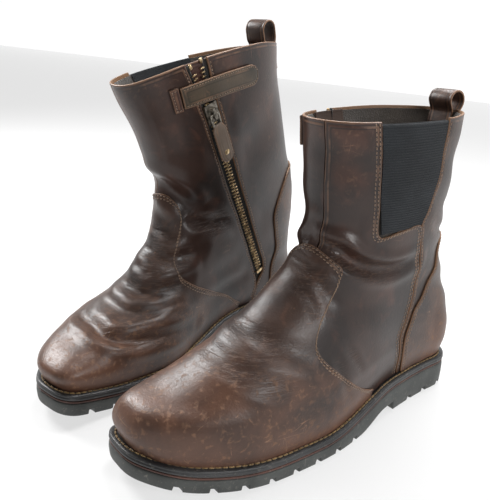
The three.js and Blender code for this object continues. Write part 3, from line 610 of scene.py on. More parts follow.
@dataclass
class Finishes:
    """Every finish of the pair, made once."""

    brown: bpy.types.Material = made(Leather(
        "oiled brown leather", (0.020, 0.0112, 0.0088), (0.052, 0.0288, 0.0208), (0.120, 0.057, 0.035)))
    smooth: bpy.types.Material = made(Leather(
        "smooth dark leather", (0.0165, 0.0098, 0.0082), (0.041, 0.0222, 0.0170), (0.084, 0.036, 0.0235),
        gloss=0.33, scuffs=0.55, grain=0.6))
    strap: bpy.types.Material = made(Leather(
        "olive strap leather", (0.030, 0.024, 0.017), (0.072, 0.054, 0.036), (0.118, 0.080, 0.050),
        gloss=0.42, scuffs=0.5))
    pull: bpy.types.Material = made(Leather(
        "tan pull leather", (0.12, 0.088, 0.066), (0.21, 0.163, 0.128), (0.27, 0.20, 0.15),
        gloss=0.6, scuffs=0.5))
    red: bpy.types.Material = made(Leather(
        "reddish leather", (0.026, 0.011, 0.009), (0.052, 0.022, 0.017), (0.085, 0.040, 0.027),
        raw=(0.055, 0.033, 0.024), gloss=0.5))
    lining: bpy.types.Material = made(Cloth(
        "brushed lining", (0.030, 0.024, 0.020), (0.070, 0.057, 0.046), 900.0))
    elastic: bpy.types.Material = made(Cloth(
        "black elastic", (0.0045, 0.0060, 0.0078), (0.0135, 0.0165, 0.020), 1900.0, 0.88, 0.04))
    tape: bpy.types.Material = made(Cloth(
        "black zip tape", (0.008, 0.008, 0.008), (0.025, 0.023, 0.021), 2200.0))
    footbed: bpy.types.Material = made(Cloth(
        "footbed cloth", (0.035, 0.03, 0.027), (0.08, 0.07, 0.06), 1100.0))
    rubber: bpy.types.Material = made(Rubber(
        "grey sole rubber", (0.036, 0.039, 0.037), (0.068, 0.072, 0.068), 0.66))
    welt: bpy.types.Material = made(Rubber(
        "black waxed welt", (0.014, 0.014, 0.015), (0.040, 0.040, 0.041), 0.48))
    line: bpy.types.Material = made(Rubber(
        "reddish sole line", (0.060, 0.026, 0.020), (0.115, 0.052, 0.038), 0.7))
    thread: bpy.types.Material = made(Cloth(
        "brown thread", (0.13, 0.080, 0.050), (0.27, 0.175, 0.11), 2600.0, 0.8))
    welt_thread: bpy.types.Material = made(Cloth(
        "ochre welt thread", (0.12, 0.07, 0.022), (0.36, 0.23, 0.09), 2600.0, 0.8))
    board: bpy.types.Material = made(Cloth(
        "fibre board", (0.16, 0.10, 0.055), (0.26, 0.17, 0.10), 700.0))
    stiffener: bpy.types.Material = made(Cloth(
        "stiffener", (0.03, 0.03, 0.03), (0.05, 0.05, 0.05), 700.0))
    brass: bpy.types.Material = made(Metal(
        "antique brass", (0.66, 0.50, 0.29), (0.24, 0.165, 0.09), 0.34))
    nickel: bpy.types.Material = made(Metal(
        "worn dark nickel", (0.38, 0.35, 0.30), (0.10, 0.09, 0.075), 0.34))
    steel: bpy.types.Material = made(Metal(
        "shank steel", (0.5, 0.5, 0.5), (0.3, 0.29, 0.28), 0.35))


# ---------------------------------------------------------------- the last and its skin
class Side(Enum):
    """Which boot of the pair."""

    LEFT = "left"
    RIGHT = "right"


# Levels up the upper, as shares of the height from the welt to the collar.
LEVEL = (0, 0.05, 0.1, 0.17, 0.25, 0.34, 0.43, 0.51, 0.58, 0.64, 0.81, 1)
SHAFT_LEVEL = (0, 0.17, 0.34, 0.51, 0.64, 0.81, 1)
# Stations along the foot, in millimetres from the heel.
STATION = (0, 10, 40, 84, 126, 168, 210, 252, 289, 318)
# Half widths at the stations and at the shaft's levels: 1 is the outer side, -1 the inner one.
HALF = {
    1: (49, 49, 40, 38.5, 45, 51.3, 53, 53.6, 52, 50),
    -1: (42, 42, 41, 35.5, 34, 41, 52.4, 53.5, 52, 50),
}
SHAFT_HALF = {
    1: (32, 32, 32, 34.5, 37, 40.5, 42),
    -1: (30.5, 32, 35.5, 36, 36.8, 39.4, 42),
}
# The sole's middle line: how far it lies off the boot's axis at each station.
CENTRE_STATION = (0, 200, 252, 271, 289, 299, 311, 318)
CENTRE_SHIFT = (0, 0, -2.4, -5, -8, -11, -16, -18)
LENGTH = 318.0  # heel to toe, in millimetres
MIDDLE = 150.0  # the station that lies on the boot's own origin
BALL = 109.0  # the station where the outline's two rounds meet


@dataclass(frozen=True)
class Profile:
    """One boot's front and back lines, level by level, and what sets it apart.

    The lines are stations (l) and heights (z) in millimetres. vamp_top is the level of the vamp's
    upper edge, turn is in degrees, mirror is 1 or -1, inner_rise lifts the inner side's collar and
    loop_rise is the pull loop's straight part above it. folds are the creases to push in.
    """

    front_l: tuple[float, ...]
    front_z: tuple[float, ...]
    back_l: tuple[float, ...]
    back_z: tuple[float, ...]
    vamp_top: float
    turn: float
    mirror: int
    inner_rise: float
    loop_rise: float
    folds: tuple[tuple[float, float, float, tuple[tuple[float, float], ...]], ...]


# A fold is its depth, its width, the ridges beside it (all in millimetres) and its line on the skin.
LEFT = Profile(
    front_l=(311, 315, 308, 284, 253, 224, 201, 184, 171, 166, 167, 172),
    front_z=(30, 44, 58, 68, 82, 100, 115, 130, 143, 160, 201, 244),
    back_l=(5, 2, 1, 2, 4, 7, 11, 15, 19, 22, 22, 16),
    back_z=(31, 42, 54, 66, 79, 93, 108, 122, 138, 156, 201, 246),
    vamp_top=0.615, turn=0.0, mirror=1, inner_rise=0.0, loop_rise=6.05,
    folds=(
        (5.6, 5.2, 2.8, ((-0.02, 0.625), (0.054, 0.618), (0.146, 0.606), (0.221, 0.579), (0.321, 0.55),
                         (0.462, 0.533), (0.6, 0.55))),
        (1.3, 5.0, 0.6, ((-0.06, 0.575), (0.012, 0.556), (0.117, 0.510), (0.2, 0.45))),
        (0.7, 4.0, 0.3, ((0.0, 0.505), (0.08, 0.48), (0.15, 0.43), (0.19, 0.38))),
        (2.8, 5.0, 1.2, ((-0.02, 0.64), (-0.1, 0.6), (-0.2, 0.56), (-0.32, 0.54))),
        (1.1, 6.5, 0.5, ((-0.25, 0.30), (-0.1, 0.335), (0.0, 0.34), (0.075, 0.328), (0.179, 0.292),
                         (0.3, 0.25))),
        (1.0, 6.5, 0.5, ((-0.25, 0.23), (-0.1, 0.262), (0.0, 0.267), (0.071, 0.254), (0.188, 0.217),
                         (0.292, 0.175), (0.38, 0.12))),
        (0.35, 2.6, 0.15, ((-0.15, 0.285), (0.0, 0.302), (0.12, 0.275), (0.25, 0.235))),
        (0.35, 2.6, 0.15, ((-0.1, 0.225), (0.05, 0.235), (0.17, 0.2), (0.28, 0.15))),
        (0.8, 4.0, 0.3, ((0.33, 0.26), (0.40, 0.20), (0.47, 0.12), (0.52, 0.06))),
        (0.5, 3.4, 0.2, ((0.37, 0.27), (0.45, 0.21), (0.53, 0.13))),
        (2.0, 13.0, 0.0, ((-0.05, 0.69), (0.083, 0.677), (0.204, 0.679), (0.33, 0.63))),
        (1.2, 4.0, 0.5, ((0.66, 0.66), (0.75, 0.63), (0.86, 0.62), (1.0, 0.63), (1.12, 0.62))),
        (1.4, 4.0, 0.6, ((0.80, 0.70), (0.9, 0.685), (1.0, 0.69), (1.1, 0.68))),
    ),
)
RIGHT = Profile(
    front_l=(311, 315, 302, 279, 243, 215, 199, 187, 181, 178, 197, 227),
    front_z=(30, 43, 53, 60, 68, 84, 104, 121, 133, 147, 200, 254),
    back_l=(5, 1, 0, 1, 1, -1, -4, -5, -1, 9, 27, 40),
    back_z=(31, 42, 54, 66, 79, 95, 114, 137, 163, 186, 235, 288),
    vamp_top=0.685, turn=12.0, mirror=-1, inner_rise=14.0, loop_rise=16.05,
    folds=(
        (4.6, 6.0, 2.6, ((0.12, 0.205), (0.0, 0.206), (-0.06, 0.19), (-0.113, 0.172), (-0.192, 0.146),
                         (-0.3, 0.125), (-0.44, 0.085))),
        (1.2, 4.6, 0.6, ((0.12, 0.27), (0.0, 0.266), (-0.088, 0.248), (-0.15, 0.25), (-0.23, 0.262))),
        (3.2, 6.4, 1.8, ((0.12, 0.335), (0.0, 0.33), (-0.062, 0.317), (-0.14, 0.319), (-0.22, 0.34))),
        (0.9, 4.4, 0.4, ((0.10, 0.40), (0.0, 0.395), (-0.058, 0.379), (-0.129, 0.388), (-0.2, 0.41))),
        (3.4, 7.0, 2.0, ((0.10, 0.47), (0.0, 0.462), (-0.075, 0.43), (-0.14, 0.43), (-0.22, 0.45))),
        (1.0, 5.0, 0.5, ((0.08, 0.54), (0.0, 0.53), (-0.08, 0.51), (-0.17, 0.50))),
        (5.0, 8.0, 3.0, ((0.12, 0.715), (0.0, 0.71), (-0.054, 0.69), (-0.1, 0.66), (-0.15, 0.60))),
        (2.2, 6.0, 1.0, ((-0.12, 0.61), (-0.2, 0.56), (-0.3, 0.54), (-0.42, 0.50))),
        (1.2, 3.2, 0.6, ((-0.22, 0.20), (-0.30, 0.19), (-0.38, 0.16))),
        (2.4, 6.0, 1.2, ((0.15, 0.6), (0.35, 0.55), (0.6, 0.55))),
        (2.6, 7.0, 1.2, ((0.75, 0.60), (0.9, 0.57), (1.0, 0.56), (1.1, 0.57))),
        (1.8, 5.0, 0.9, ((0.78, 0.50), (0.9, 0.475), (1.0, 0.47), (1.1, 0.48))),
    ),
)


def toe_lift(l: Array) -> Array:
    """The sole's rise towards the toe: 12 ((l - 208) / 104)^2 past station 208."""
    return 12.0 * np.maximum(0, (l - 208) / 104) ** 2


def welt_top(l: Array) -> Array:
    """Height of the welt's upper face: 30 at the heel, easing down to 18, plus the toe's lift."""
    return lerp(30.0, 18.0, ease(l, 95, 185)) + toe_lift(l)


def sole_half(l: Array, side: int) -> Array:
    """Half width of the sole: its table times cbrt(1 - share^3) towards each end."""
    tip = np.where(l > BALL, LENGTH - BALL, BALL)
    share = np.clip(np.abs(l - BALL) / tip, 0, 1)
    return through(l, STATION, HALF[side]) * np.cbrt(1 - share**3)


class Skin:
    """The upper's outer skin as a fine grid, read at places (u, v).

    u runs 0 at the front, 1 at the back seam by the outer side and 2 at the front again; v runs
    from the welt to the collar. Folds are pushed into the grid before its normals are taken.
    """

    ROWS = 221
    HALF_COLUMNS = 221
    STEPS = 160  # points of a half outline before they are spaced evenly
    HEEL_REST = 31.0  # the station that the frame's heel rest marks
    FEATHER = 5.0  # how far the upper stands in from the sole's edge
    COLLAR_TO_STRAP = 3.5
    BROAD_FOLD = 8.0  # folds from this width on are hollows that hardly line the leather
    WAVES = 14

    def __init__(self, side: Side, profile: Profile) -> None:
        """Works out the grid of one boot."""
        self.profile = profile
        mount = next(m for m in frame["record"]["mounts"] if m["name"] == f"{side.value}_heel_rest")
        c, s = np.cos(np.radians(profile.turn)), np.sin(np.radians(profile.turn))
        self.turn = np.array([[c, -s, 0], [s, c, 0], [0, 0, 1]])
        heel = np.array([0.0, (MIDDLE - self.HEEL_REST) * MM, 0.0])
        self.origin = np.asarray(mount["pos_m"], float) - self.turn @ heel
        v = np.linspace(0, 1, self.ROWS)
        halves = [self.outline(v, 1), self.outline(v, -1)[:, ::-1]]
        self.base = np.concatenate([halves[0], halves[1][:, 1:-1]], axis=1)
        self.base_normal = self.normals_of(self.base)
        self.grid, self.normal_grid = self.base, self.base_normal
        self.flex = np.zeros(self.base.shape[:2])

    @property
    def strap_drop(self) -> float:
        """From the collar's edge over the zip down to the strap, in millimetres."""
        return self.COLLAR_TO_STRAP + 0.9 * self.profile.inner_rise

    def world(self, l: Array, w: Array, z: Array) -> Array:
        """A place by station, breadth and height as a point in the row's frame, in metres."""
        local = np.stack([self.profile.mirror * w, MIDDLE - l, z], -1) * MM
        return local @ self.turn.T + self.origin

    def outline(self, v: Array, side: int) -> Array:
        """One side's points, level by level.

        Each level is a superellipse between the front and back lines whose half width blends
        from the sole's to the shaft's; its points are then spaced evenly along it.

        Args:
            v: The levels.
            side: 1 for the outer side, -1 for the inner one.

        Returns:
            Points in metres, from the front to the back, level by level.
        """
        p = self.profile
        v = v[:, None]
        front, back = through(v, LEVEL, p.front_l), through(v, LEVEL, p.back_l)
        front_z, back_z = through(v, LEVEL, p.front_z), through(v, LEVEL, p.back_z)
        middle = lerp(back, front, 0.34 + 0.14 * ease(v, 0.2, 0.6))
        power = 3 - 0.7 * ease(v, 0, 0.45)
        t = np.sin((np.pi / 2) * (1 - 2 * np.arange(self.STEPS + 1) / self.STEPS))[None]
        l = middle + t * np.where(t > 0, front - middle, middle - back)
        round_ = np.maximum(0, 1 - np.abs(t) ** power) ** (1 / power)
        foot = through(l, STATION, HALF[side]) - self.FEATHER * (1 - 0.5 * ease(v, 0, 0.08))
        leg = through(v, SHAFT_LEVEL, SHAFT_HALF[side])
        half = lerp(foot, leg, ease(v, 0.12, 0.58)) * round_
        w = side * half + through(l, CENTRE_STATION, CENTRE_SHIFT) * (1 - ease(v, 0.2, 0.5))
        s = (l - back) / (front - back)
        # Near the welt the level follows the welt's own curve, not the straight line from heel to toe.
        bent = welt_top(l) - lerp(welt_top(np.array(p.back_l[0])), welt_top(np.array(p.front_l[0])), s)
        crown = p.inner_rise * round_**2 * ease(v, 0.8, 1) if side < 0 else 0.0
        z = lerp(back_z, front_z, s) + bent * (1 - ease(v, 0, 0.3)) + crown
        run = run_along(np.stack([l, w], -1), 1)
        even = np.linspace(0, 1, self.HALF_COLUMNS)
        rows = [[np.interp(even, r / r[-1], c) for c in cs] for r, cs in zip(run, np.stack([l, w, z], 1))]
        table = np.asarray(rows)
        return self.world(table[:, 0], table[:, 1], table[:, 2])

    def normals_of(self, grid: Array) -> Array:
        """Outward normals of a grid that closes across its columns."""
        du = np.roll(grid, -1, 1) - np.roll(grid, 1, 1)
        dv = np.gradient(grid, axis=0)
        return unit(np.cross(du, dv)) * self.profile.mirror

    def sample(self, table: Array, u: Array, v: Array) -> Array:
        """A table read at (u, v), blended between its four nearest entries.

        Args:
            table: Values over the skin's grid.
            u: Places round the leg.
            v: Levels.

        Returns:
            The values there.
        """
        columns = table.shape[1]
        u, v = np.broadcast_arrays(np.asarray(u, float), np.asarray(v, float))
        x = np.mod(u, 2) * columns / 2
        y = np.clip(v, 0, 1) * (self.ROWS - 1)
        i, j = np.minimum(y.astype(int), self.ROWS - 2), x.astype(int) % columns
        fy, fx = (y - i), (x - x.astype(int))
        if table.ndim == 3:
            fy, fx = fy[..., None], fx[..., None]
        k = (j + 1) % columns
        return lerp(lerp(table[i, j], table[i, k], fx), lerp(table[i + 1, j], table[i + 1, k], fx), fy)

    def at(self, u: Array, v: Array) -> Array:
        """Points on the skin."""
        return self.sample(self.grid, u, v)

    def normal(self, u: Array, v: Array) -> Array:
        """The skin's outward normals."""
        return unit(self.sample(self.normal_grid, u, v))

    def below(self, u: Array, v: Array, depth: float | Array) -> Array:
        """Points that lie depth millimetres below the skin."""
        return self.at(u, v) - self.normal(u, v) * (np.asarray(depth, float) * MM)[..., None]

    def girth(self, v: float) -> float:
        """Metres of skin for one step of u at level v."""
        row = self.sample(self.base, np.linspace(1, 2, 90), np.full(90, v))
        return float(np.linalg.norm(np.diff(row, axis=0), axis=1).sum())

    def crease(self, keep_flat: Array) -> None:
        """Pushes the folds into the grid.

        With d the distance from a fold's line in its own widths, its push outwards is
        ridge bell(d - 1.9, 0.9) - depth bell(d, 1), faded towards the line's two ends as
        sin(pi t)^0.6. Slow waves add the leather's unevenness.

        Args:
            keep_flat: For each grid point, 0 where the skin has to stay as it is and 1 elsewhere.
        """
        rows, columns = self.base.shape[:2]
        u = np.arange(columns) * 2 / columns
        v = np.linspace(0, 1, rows)[:, None]
        push = np.zeros((rows, columns))
        flex = np.zeros((rows, columns))
        for depth, width, ridge, line in self.profile.folds:
            t = np.linspace(0, 1, 70)
            points = self.sample(self.base, *along(line, t))
            gap = np.full((rows, columns), np.inf)
            near = np.zeros((rows, columns))
            for share, point in zip(t, points):
                d = np.linalg.norm(self.base - point, axis=-1)
                near = np.where(d < gap, share, near)
                gap = np.minimum(gap, d)
            fade = np.sin(np.pi * np.clip(near, 0.02, 0.98)) ** 0.6
            d = gap / (width * MM)
            push += fade * (ridge * bell(d - 1.9, 0.9) - depth * bell(d, 1.0))
            lined = min(1.0, 0.45 + depth * 0.2) * (1.0 if width < self.BROAD_FOLD else 0.2)
            flex = np.maximum(flex, fade * bell(d, 2.4) * lined)
        wave = np.zeros((rows, columns))
        dice = np.random.default_rng(7 + self.profile.mirror)
        for k in range(self.WAVES):
            turns, rise = dice.integers(1, 6), dice.uniform(1, 7)
            wave += np.sin(np.pi * turns * u + 2 * np.pi * rise * v + dice.uniform(0, 6.3)) / (1 + 0.35 * k)
        push += 0.42 * wave * ease(v, 0.02, 0.15)
        push *= ease(v, 0.0, 0.06) * keep_flat
        self.flex = flex
        self.grid = self.base + self.base_normal * (push * MM)[..., None]
        self.normal_grid = self.normals_of(self.grid)


# Depths below the skin in millimetres, as (top, bottom): panels that lap over, those beneath, the strap.
OVER = (-0.8, 0.8)
UNDER = (0.9, 2.6)
STRAP = (-2.25, -0.45)
STITCH = (2.35, 0.9, 0.8)  # a stitch's length, width and height in millimetres
EDGE_REACH = 12.0  # edge distances past this many millimetres all count alike
GIRTH = 0.19  # metres of skin for one step of u, on the skin's own map
HEIGHT = 0.215  # and for one step of v
COLLAR_BLEND = (0.93, 0.985)  # levels between which the inner layers come up to the leather

VAMP_OUTER = ((0, 1), (0.054, 0.99), (0.133, 0.95), (0.175, 0.91), (0.188, 0.85), (0.196, 0.79),
              (0.2, 0.68), (0.208, 0.6), (0.242, 0.49), (0.312, 0.4), (0.425, 0.29), (0.61, 0.04))
VAMP_INNER = ((0, 1), (0.033, 0.99), (0.075, 0.954), (0.092, 0.9), (0.092, 0.83), (0.1, 0.69),
              (0.129, 0.59), (0.167, 0.525), (0.283, 0.43), (0.42, 0.33), (0.52, 0.24), (0.67, 0.04))
ELASTIC_FRONT = ((0.259, 0.992), (0.279, 0.854), (0.292, 0.742), (0.324, 0.648))
ELASTIC_REAR = ((0.610, 0.992), (0.624, 0.866), (0.618, 0.76), (0.576, 0.662))
QUARTER_REAR = ((0.255, 1), (0.275, 0.854), (0.288, 0.742), (0.316, 0.644), (0.44, 0.651), (0.565, 0.659),
                (0.602, 0.59), (0.64, 0.5), (0.652, 0.4), (0.658, 0.3), (0.664, 0.2), (0.7, 0.09),
                (0.722, 0))
REAR_FRONT = ((0.613, 1), (0.626, 0.9), (0.626, 0.83), (0.62, 0.765), (0.598, 0.7), (0.572, 0.662),
              (0.607, 0.59), (0.645, 0.5), (0.657, 0.4), (0.663, 0.3), (0.669, 0.2), (0.705, 0.09),
              (0.727, 0))
REAR_BACK = ((0.997, 1), (0.997, 0.9), (0.997, 0.81), (0.997, 0.74), (0.997, 0.67), (0.99, 0.6),
             (0.92, 0.55), (0.86, 0.49), (0.81, 0.4), (0.77, 0.32), (0.755, 0.22), (0.78, 0.1), (0.81, 0))
MEDIAL_BACK = ((1.003, 1), (1.003, 0.92), (1.003, 0.83), (1.003, 0.75), (1.003, 0.67), (1.01, 0.6),
               (1.11, 0.55), (1.2, 0.49), (1.2, 0.41), (1.18, 0.32), (1.16, 0.22), (1.15, 0.1), (1.14, 0))
HEEL_OUTER = ((0.9, 0.6), (0.84, 0.57), (0.8, 0.51), (0.75, 0.425), (0.71, 0.346), (0.685, 0.28),
              (0.69, 0.19), (0.71, 0.1), (0.74, 0))
HEEL_INNER = ((1.1, 0.6), (1.2, 0.59), (1.28, 0.55), (1.33, 0.48), (1.3, 0.4), (1.26, 0.32),
              (1.24, 0.22), (1.22, 0.1), (1.21, 0))
STIFFENER_OUTER = ((0.87, 0.45), (0.81, 0.35), (0.78, 0.24), (0.81, 0.01))
STIFFENER_INNER = ((1.1, 0.45), (1.13, 0.35), (1.13, 0.24), (1.11, 0.01))
TUCK = 0.045  # how far a quarter runs on under the vamp


def on_inner_side(points: Line) -> list[tuple[float, float]]:
    """The same line on the inner side."""
    return [(2 - u, v) for u, v in points]


def from_front(u: Array) -> Array:
    """u counted from the front line: above 0 by the outer side, below 0 by the inner one."""
    return np.where(u > 1, u - 2, u)


def evenly(amount: float) -> Callable[[Array, Array], Array]:
    """The same wear all over a panel."""
    return lambda u, v: np.full(u.shape, amount)


def comes_up(height: float) -> Callable[[Array, Array], Array]:
    """A depth that rises by height millimetres towards the collar."""
    return lambda u, v: -height * ease(v, *COLLAR_BLEND)


def between(first: Line, second: Line) -> Callable[[Array, Array], Place]:
    """Places between two lines: a runs along them, b from the first to the second.

    Args:
        first: The line at b = 0.
        second: The line at b = 1.

    Returns:
        A function from (a, b) to a place on the skin.
    """

    def place(a: Array, b: Array) -> Place:
        """The place at (a, b)."""
        p, q = along(first, a), along(second, a)
        return lerp(p[0], q[0], b), lerp(p[1], q[1], b)

    return place


@dataclass
class Panel:
    """A sheet of the upper between two depths, with rounded, stitched and worn borders.

    cut names the borders that are cut edges: "start" and "end" are a = 0 and 1, "first" and
    "second" are b = 0 and 1. At a distance d from a cut edge the face sinks by nine tenths of its
    round, r - sqrt(r^2 - (r - d)^2), and it dips along its stitch row. Sizes are in millimetres.
    """

    skin: Skin
    place: Callable[[Array, Array], Place]
    band: tuple[float, float]
    cut: tuple[str, ...] = ("start", "end", "first", "second")
    pitch: float = 1.5  # the grid's step away from the borders
    round_: float = 0.75
    groove: float = 0.22
    stitch_at: float = 2.3
    ribs: float = 0.0  # the ribs' own pitch, where there are any
    rib_depth: float = 0.28
    rib_steps: int = 5
    sink: Callable[[Array, Array], Array] | None = None

    def __post_init__(self) -> None:
        """Spaces the grid and measures each point's distance to the borders."""
        probe = np.linspace(0, 1, 25)
        a, b = np.meshgrid(probe, probe, indexing="ij")
        rough = self.skin.at(*self.place(a, b))
        down = np.linalg.norm(np.diff(rough, axis=0), axis=-1).sum(0).max()
        across = np.linalg.norm(np.diff(rough, axis=1), axis=-1).sum(1).max()
        self.a = crowd(float(down), self.pitch * MM)
        self.b = crowd(float(across), self.pitch * MM)
        if self.ribs:
            self.a = np.linspace(0, 1, int(down / (self.ribs * MM) * self.rib_steps))
        grid_a, grid_b = np.meshgrid(self.a, self.b, indexing="ij")
        self.u, self.v = self.place(grid_a, grid_b)
        points = self.skin.at(self.u, self.v)
        self.run_a, self.run_b = run_along(points, 0), run_along(points, 1)
        far = {
            "first": self.run_b, "second": self.run_b[:, -1:] - self.run_b,
            "start": self.run_a, "end": self.run_a[-1:] - self.run_a,
        }
        reach = [far[name] for name in self.cut] or [np.full(self.u.shape, 1.0)]
        self.edge = np.minimum(np.minimum.reduce(reach) / MM, EDGE_REACH)
        r = self.round_
        d = np.minimum(self.edge, r)
        self.drop = (r - np.sqrt(np.maximum(r * r - (r - d) ** 2, 0))) * 0.9
        self.drop = self.drop + self.groove * bell(self.edge - self.stitch_at, 0.55)
        if self.ribs:
            self.drop = self.drop + self.rib_depth * np.sin(2 * np.pi * self.run_a / (self.ribs * MM))
        self.base = self.sink(self.u, self.v) if self.sink else np.zeros(self.u.shape)

    def mesh(self) -> Shape:
        """The closed sheet's points and quads."""
        top = self.skin.below(self.u, self.v, self.band[0] + self.drop + self.base)
        low = self.skin.below(self.u, self.v, self.band[1] + self.base - 0.25 * np.minimum(self.drop, 0.6))
        points = np.concatenate([top.reshape(-1, 3), low.reshape(-1, 3)])
        return points, slab_faces(*self.u.shape)

    def values(self, worn: Callable[[Array, Array], Array]) -> dict[str, Array]:
        """Edge distance (below 0 underneath), flex and wear for each point."""
        flex = self.skin.sample(self.skin.flex, self.u, self.v).ravel()
        rub = worn(self.u, self.v).ravel()
        return {
            "edge": np.concatenate([self.edge.ravel(), np.full(self.edge.size, -1.0)]),
            "flex": np.tile(flex, 2), "worn": np.tile(rub, 2),
        }

    def skin_map(self) -> Array:
        """Metres round and up the skin for each point."""
        around = np.where(self.u > 1.5, self.u - 2, self.u) if self.u.min() < 0.5 else self.u
        place = np.stack([around * GIRTH, self.v * HEIGHT], -1).reshape(-1, 2)
        return np.tile(place, (2, 1))

    def stitches(self, border: str, inset: float, pitch: float = 3.2, skip: float = 5.0,
                 size: tuple[float, float, float] = STITCH) -> Shape:
        """A row of stitches along a border.

        Args:
            border: The border's name, as in cut.
            inset: Distance from the border in millimetres.
            pitch: Distance between stitches.
            skip: Length left bare at both ends of the row.
            size: A stitch's length, width and height.

        Returns:
            The stitches' points and quads.
        """
        if border in ("first", "second"):
            want = inset * MM if border == "first" else self.run_b[:, -1] - inset * MM
            want = np.broadcast_to(want, self.run_b.shape[:1])
            b = np.array([np.interp(w, run, self.b) for w, run in zip(want, self.run_b)])
            u, v = self.place(self.a, b)
        else:
            want = inset * MM if border == "start" else self.run_a[-1] - inset * MM
            want = np.broadcast_to(want, self.run_a.shape[1:])
            a = np.array([np.interp(w, run, self.a) for w, run in zip(want, self.run_a.T)])
            u, v = self.place(a, self.b)
        base = float(self.base.mean())
        return stitch_row(self.skin, u, v, self.band[0] + base + 0.02, pitch, skip, size)


def stitch_row(skin: Skin, u: Array, v: Array, depth: float, pitch: float, skip: float,
               size: tuple[float, float, float]) -> Shape:
    """Stitches at even steps along a line on the skin, half sunk at the given depth.

    Args:
        skin: The skin that they lie on.
        u: The line's places round the leg.
        v: Its levels.
        depth: Millimetres below the skin.
        pitch: Distance between stitches.
        skip: Length left bare at both ends.
        size: A stitch's length, width and height.

    Returns:
        The stitches' points and quads.
    """
    run = run_along(skin.at(u, v), 0) / MM
    marks = np.arange(skip, run[-1] - skip, pitch)
    u, v = np.interp(marks, run, u), np.interp(marks, run, v)
    centre = skin.below(u, v, depth)
    up = skin.normal(u, v)
    forward = unit(np.gradient(centre, axis=0))
    # Each stitch slants a little, as a lockstitch does.
    lean = unit(forward + 0.12 * unit(np.cross(up, forward)))
    return copies(pill(*size), centre, lean, unit(np.cross(up, lean)), up)


def rounded(points: Line) -> list[tuple[float, float]]:
    """The line with its corners cut twice, a quarter of the way in from each side."""
    line = np.asarray(points, float)
    for _ in range(2):
        first, second = line[:-1], line[1:]
        cut = np.stack([lerp(first, second, 0.25), lerp(first, second, 0.75)], 1).reshape(-1, 2)
        line = np.concatenate([line[:1], cut[1:-1], line[-1:]])
    return [(float(u), float(v)) for u, v in line]


def refine(node: str, material: bpy.types.Material, width: float) -> None:
    """Gives a frame node its finish and a small round on its edges, width metres across.

    Args:
        node: The node's name.
        material: Its finish.
        width: The round, or 0 for none.
    """
    thing = frame["nodes"][node]
    thing.data.materials.clear()
    thing.data.materials.append(material)
    weld = thing.modifiers.new("weld", "WELD")
    weld.merge_threshold = 0.00001
    if width > 0:
        bevel = thing.modifiers.new("edge", "BEVEL")
        bevel.width = width
        bevel.segments = 2
        bevel.limit_method = "ANGLE"
        bevel.angle_limit = np.radians(35)


@dataclass
class Assembly:
    """One group of pieces of one boot."""

    side: Side
    skin: Skin
    finishes: Finishes

    def full(self, name: str) -> str:
        """A name with its boot's before it."""
        return f"{self.side.value}_{name}"

    def make(self, name: str, shape: Shape, material: bpy.types.Material, slot: str, node: str = "",
             body: str = "boot", attributes: dict[str, Array] | None = None,
             skin_map: Array | None = None) -> bpy.types.Object:
        """Turns a shape into a piece of this boot.

        Args:
            name: The piece's name without its boot's.
            shape: Its points and quads.
            material: Its finish.
            slot: The record's material slot; not used.
            node: The node that it stands for, if any.
            body: The body that it rides on.
            attributes: Named values, one for each point.
            skin_map: A map place for each point.

        Returns:
            The new object.
        """
        nodes = [self.full(node)] if node else []
        return make_piece(self.full(name), shape, self.full(body), material, nodes, attributes,
                          skin_map)


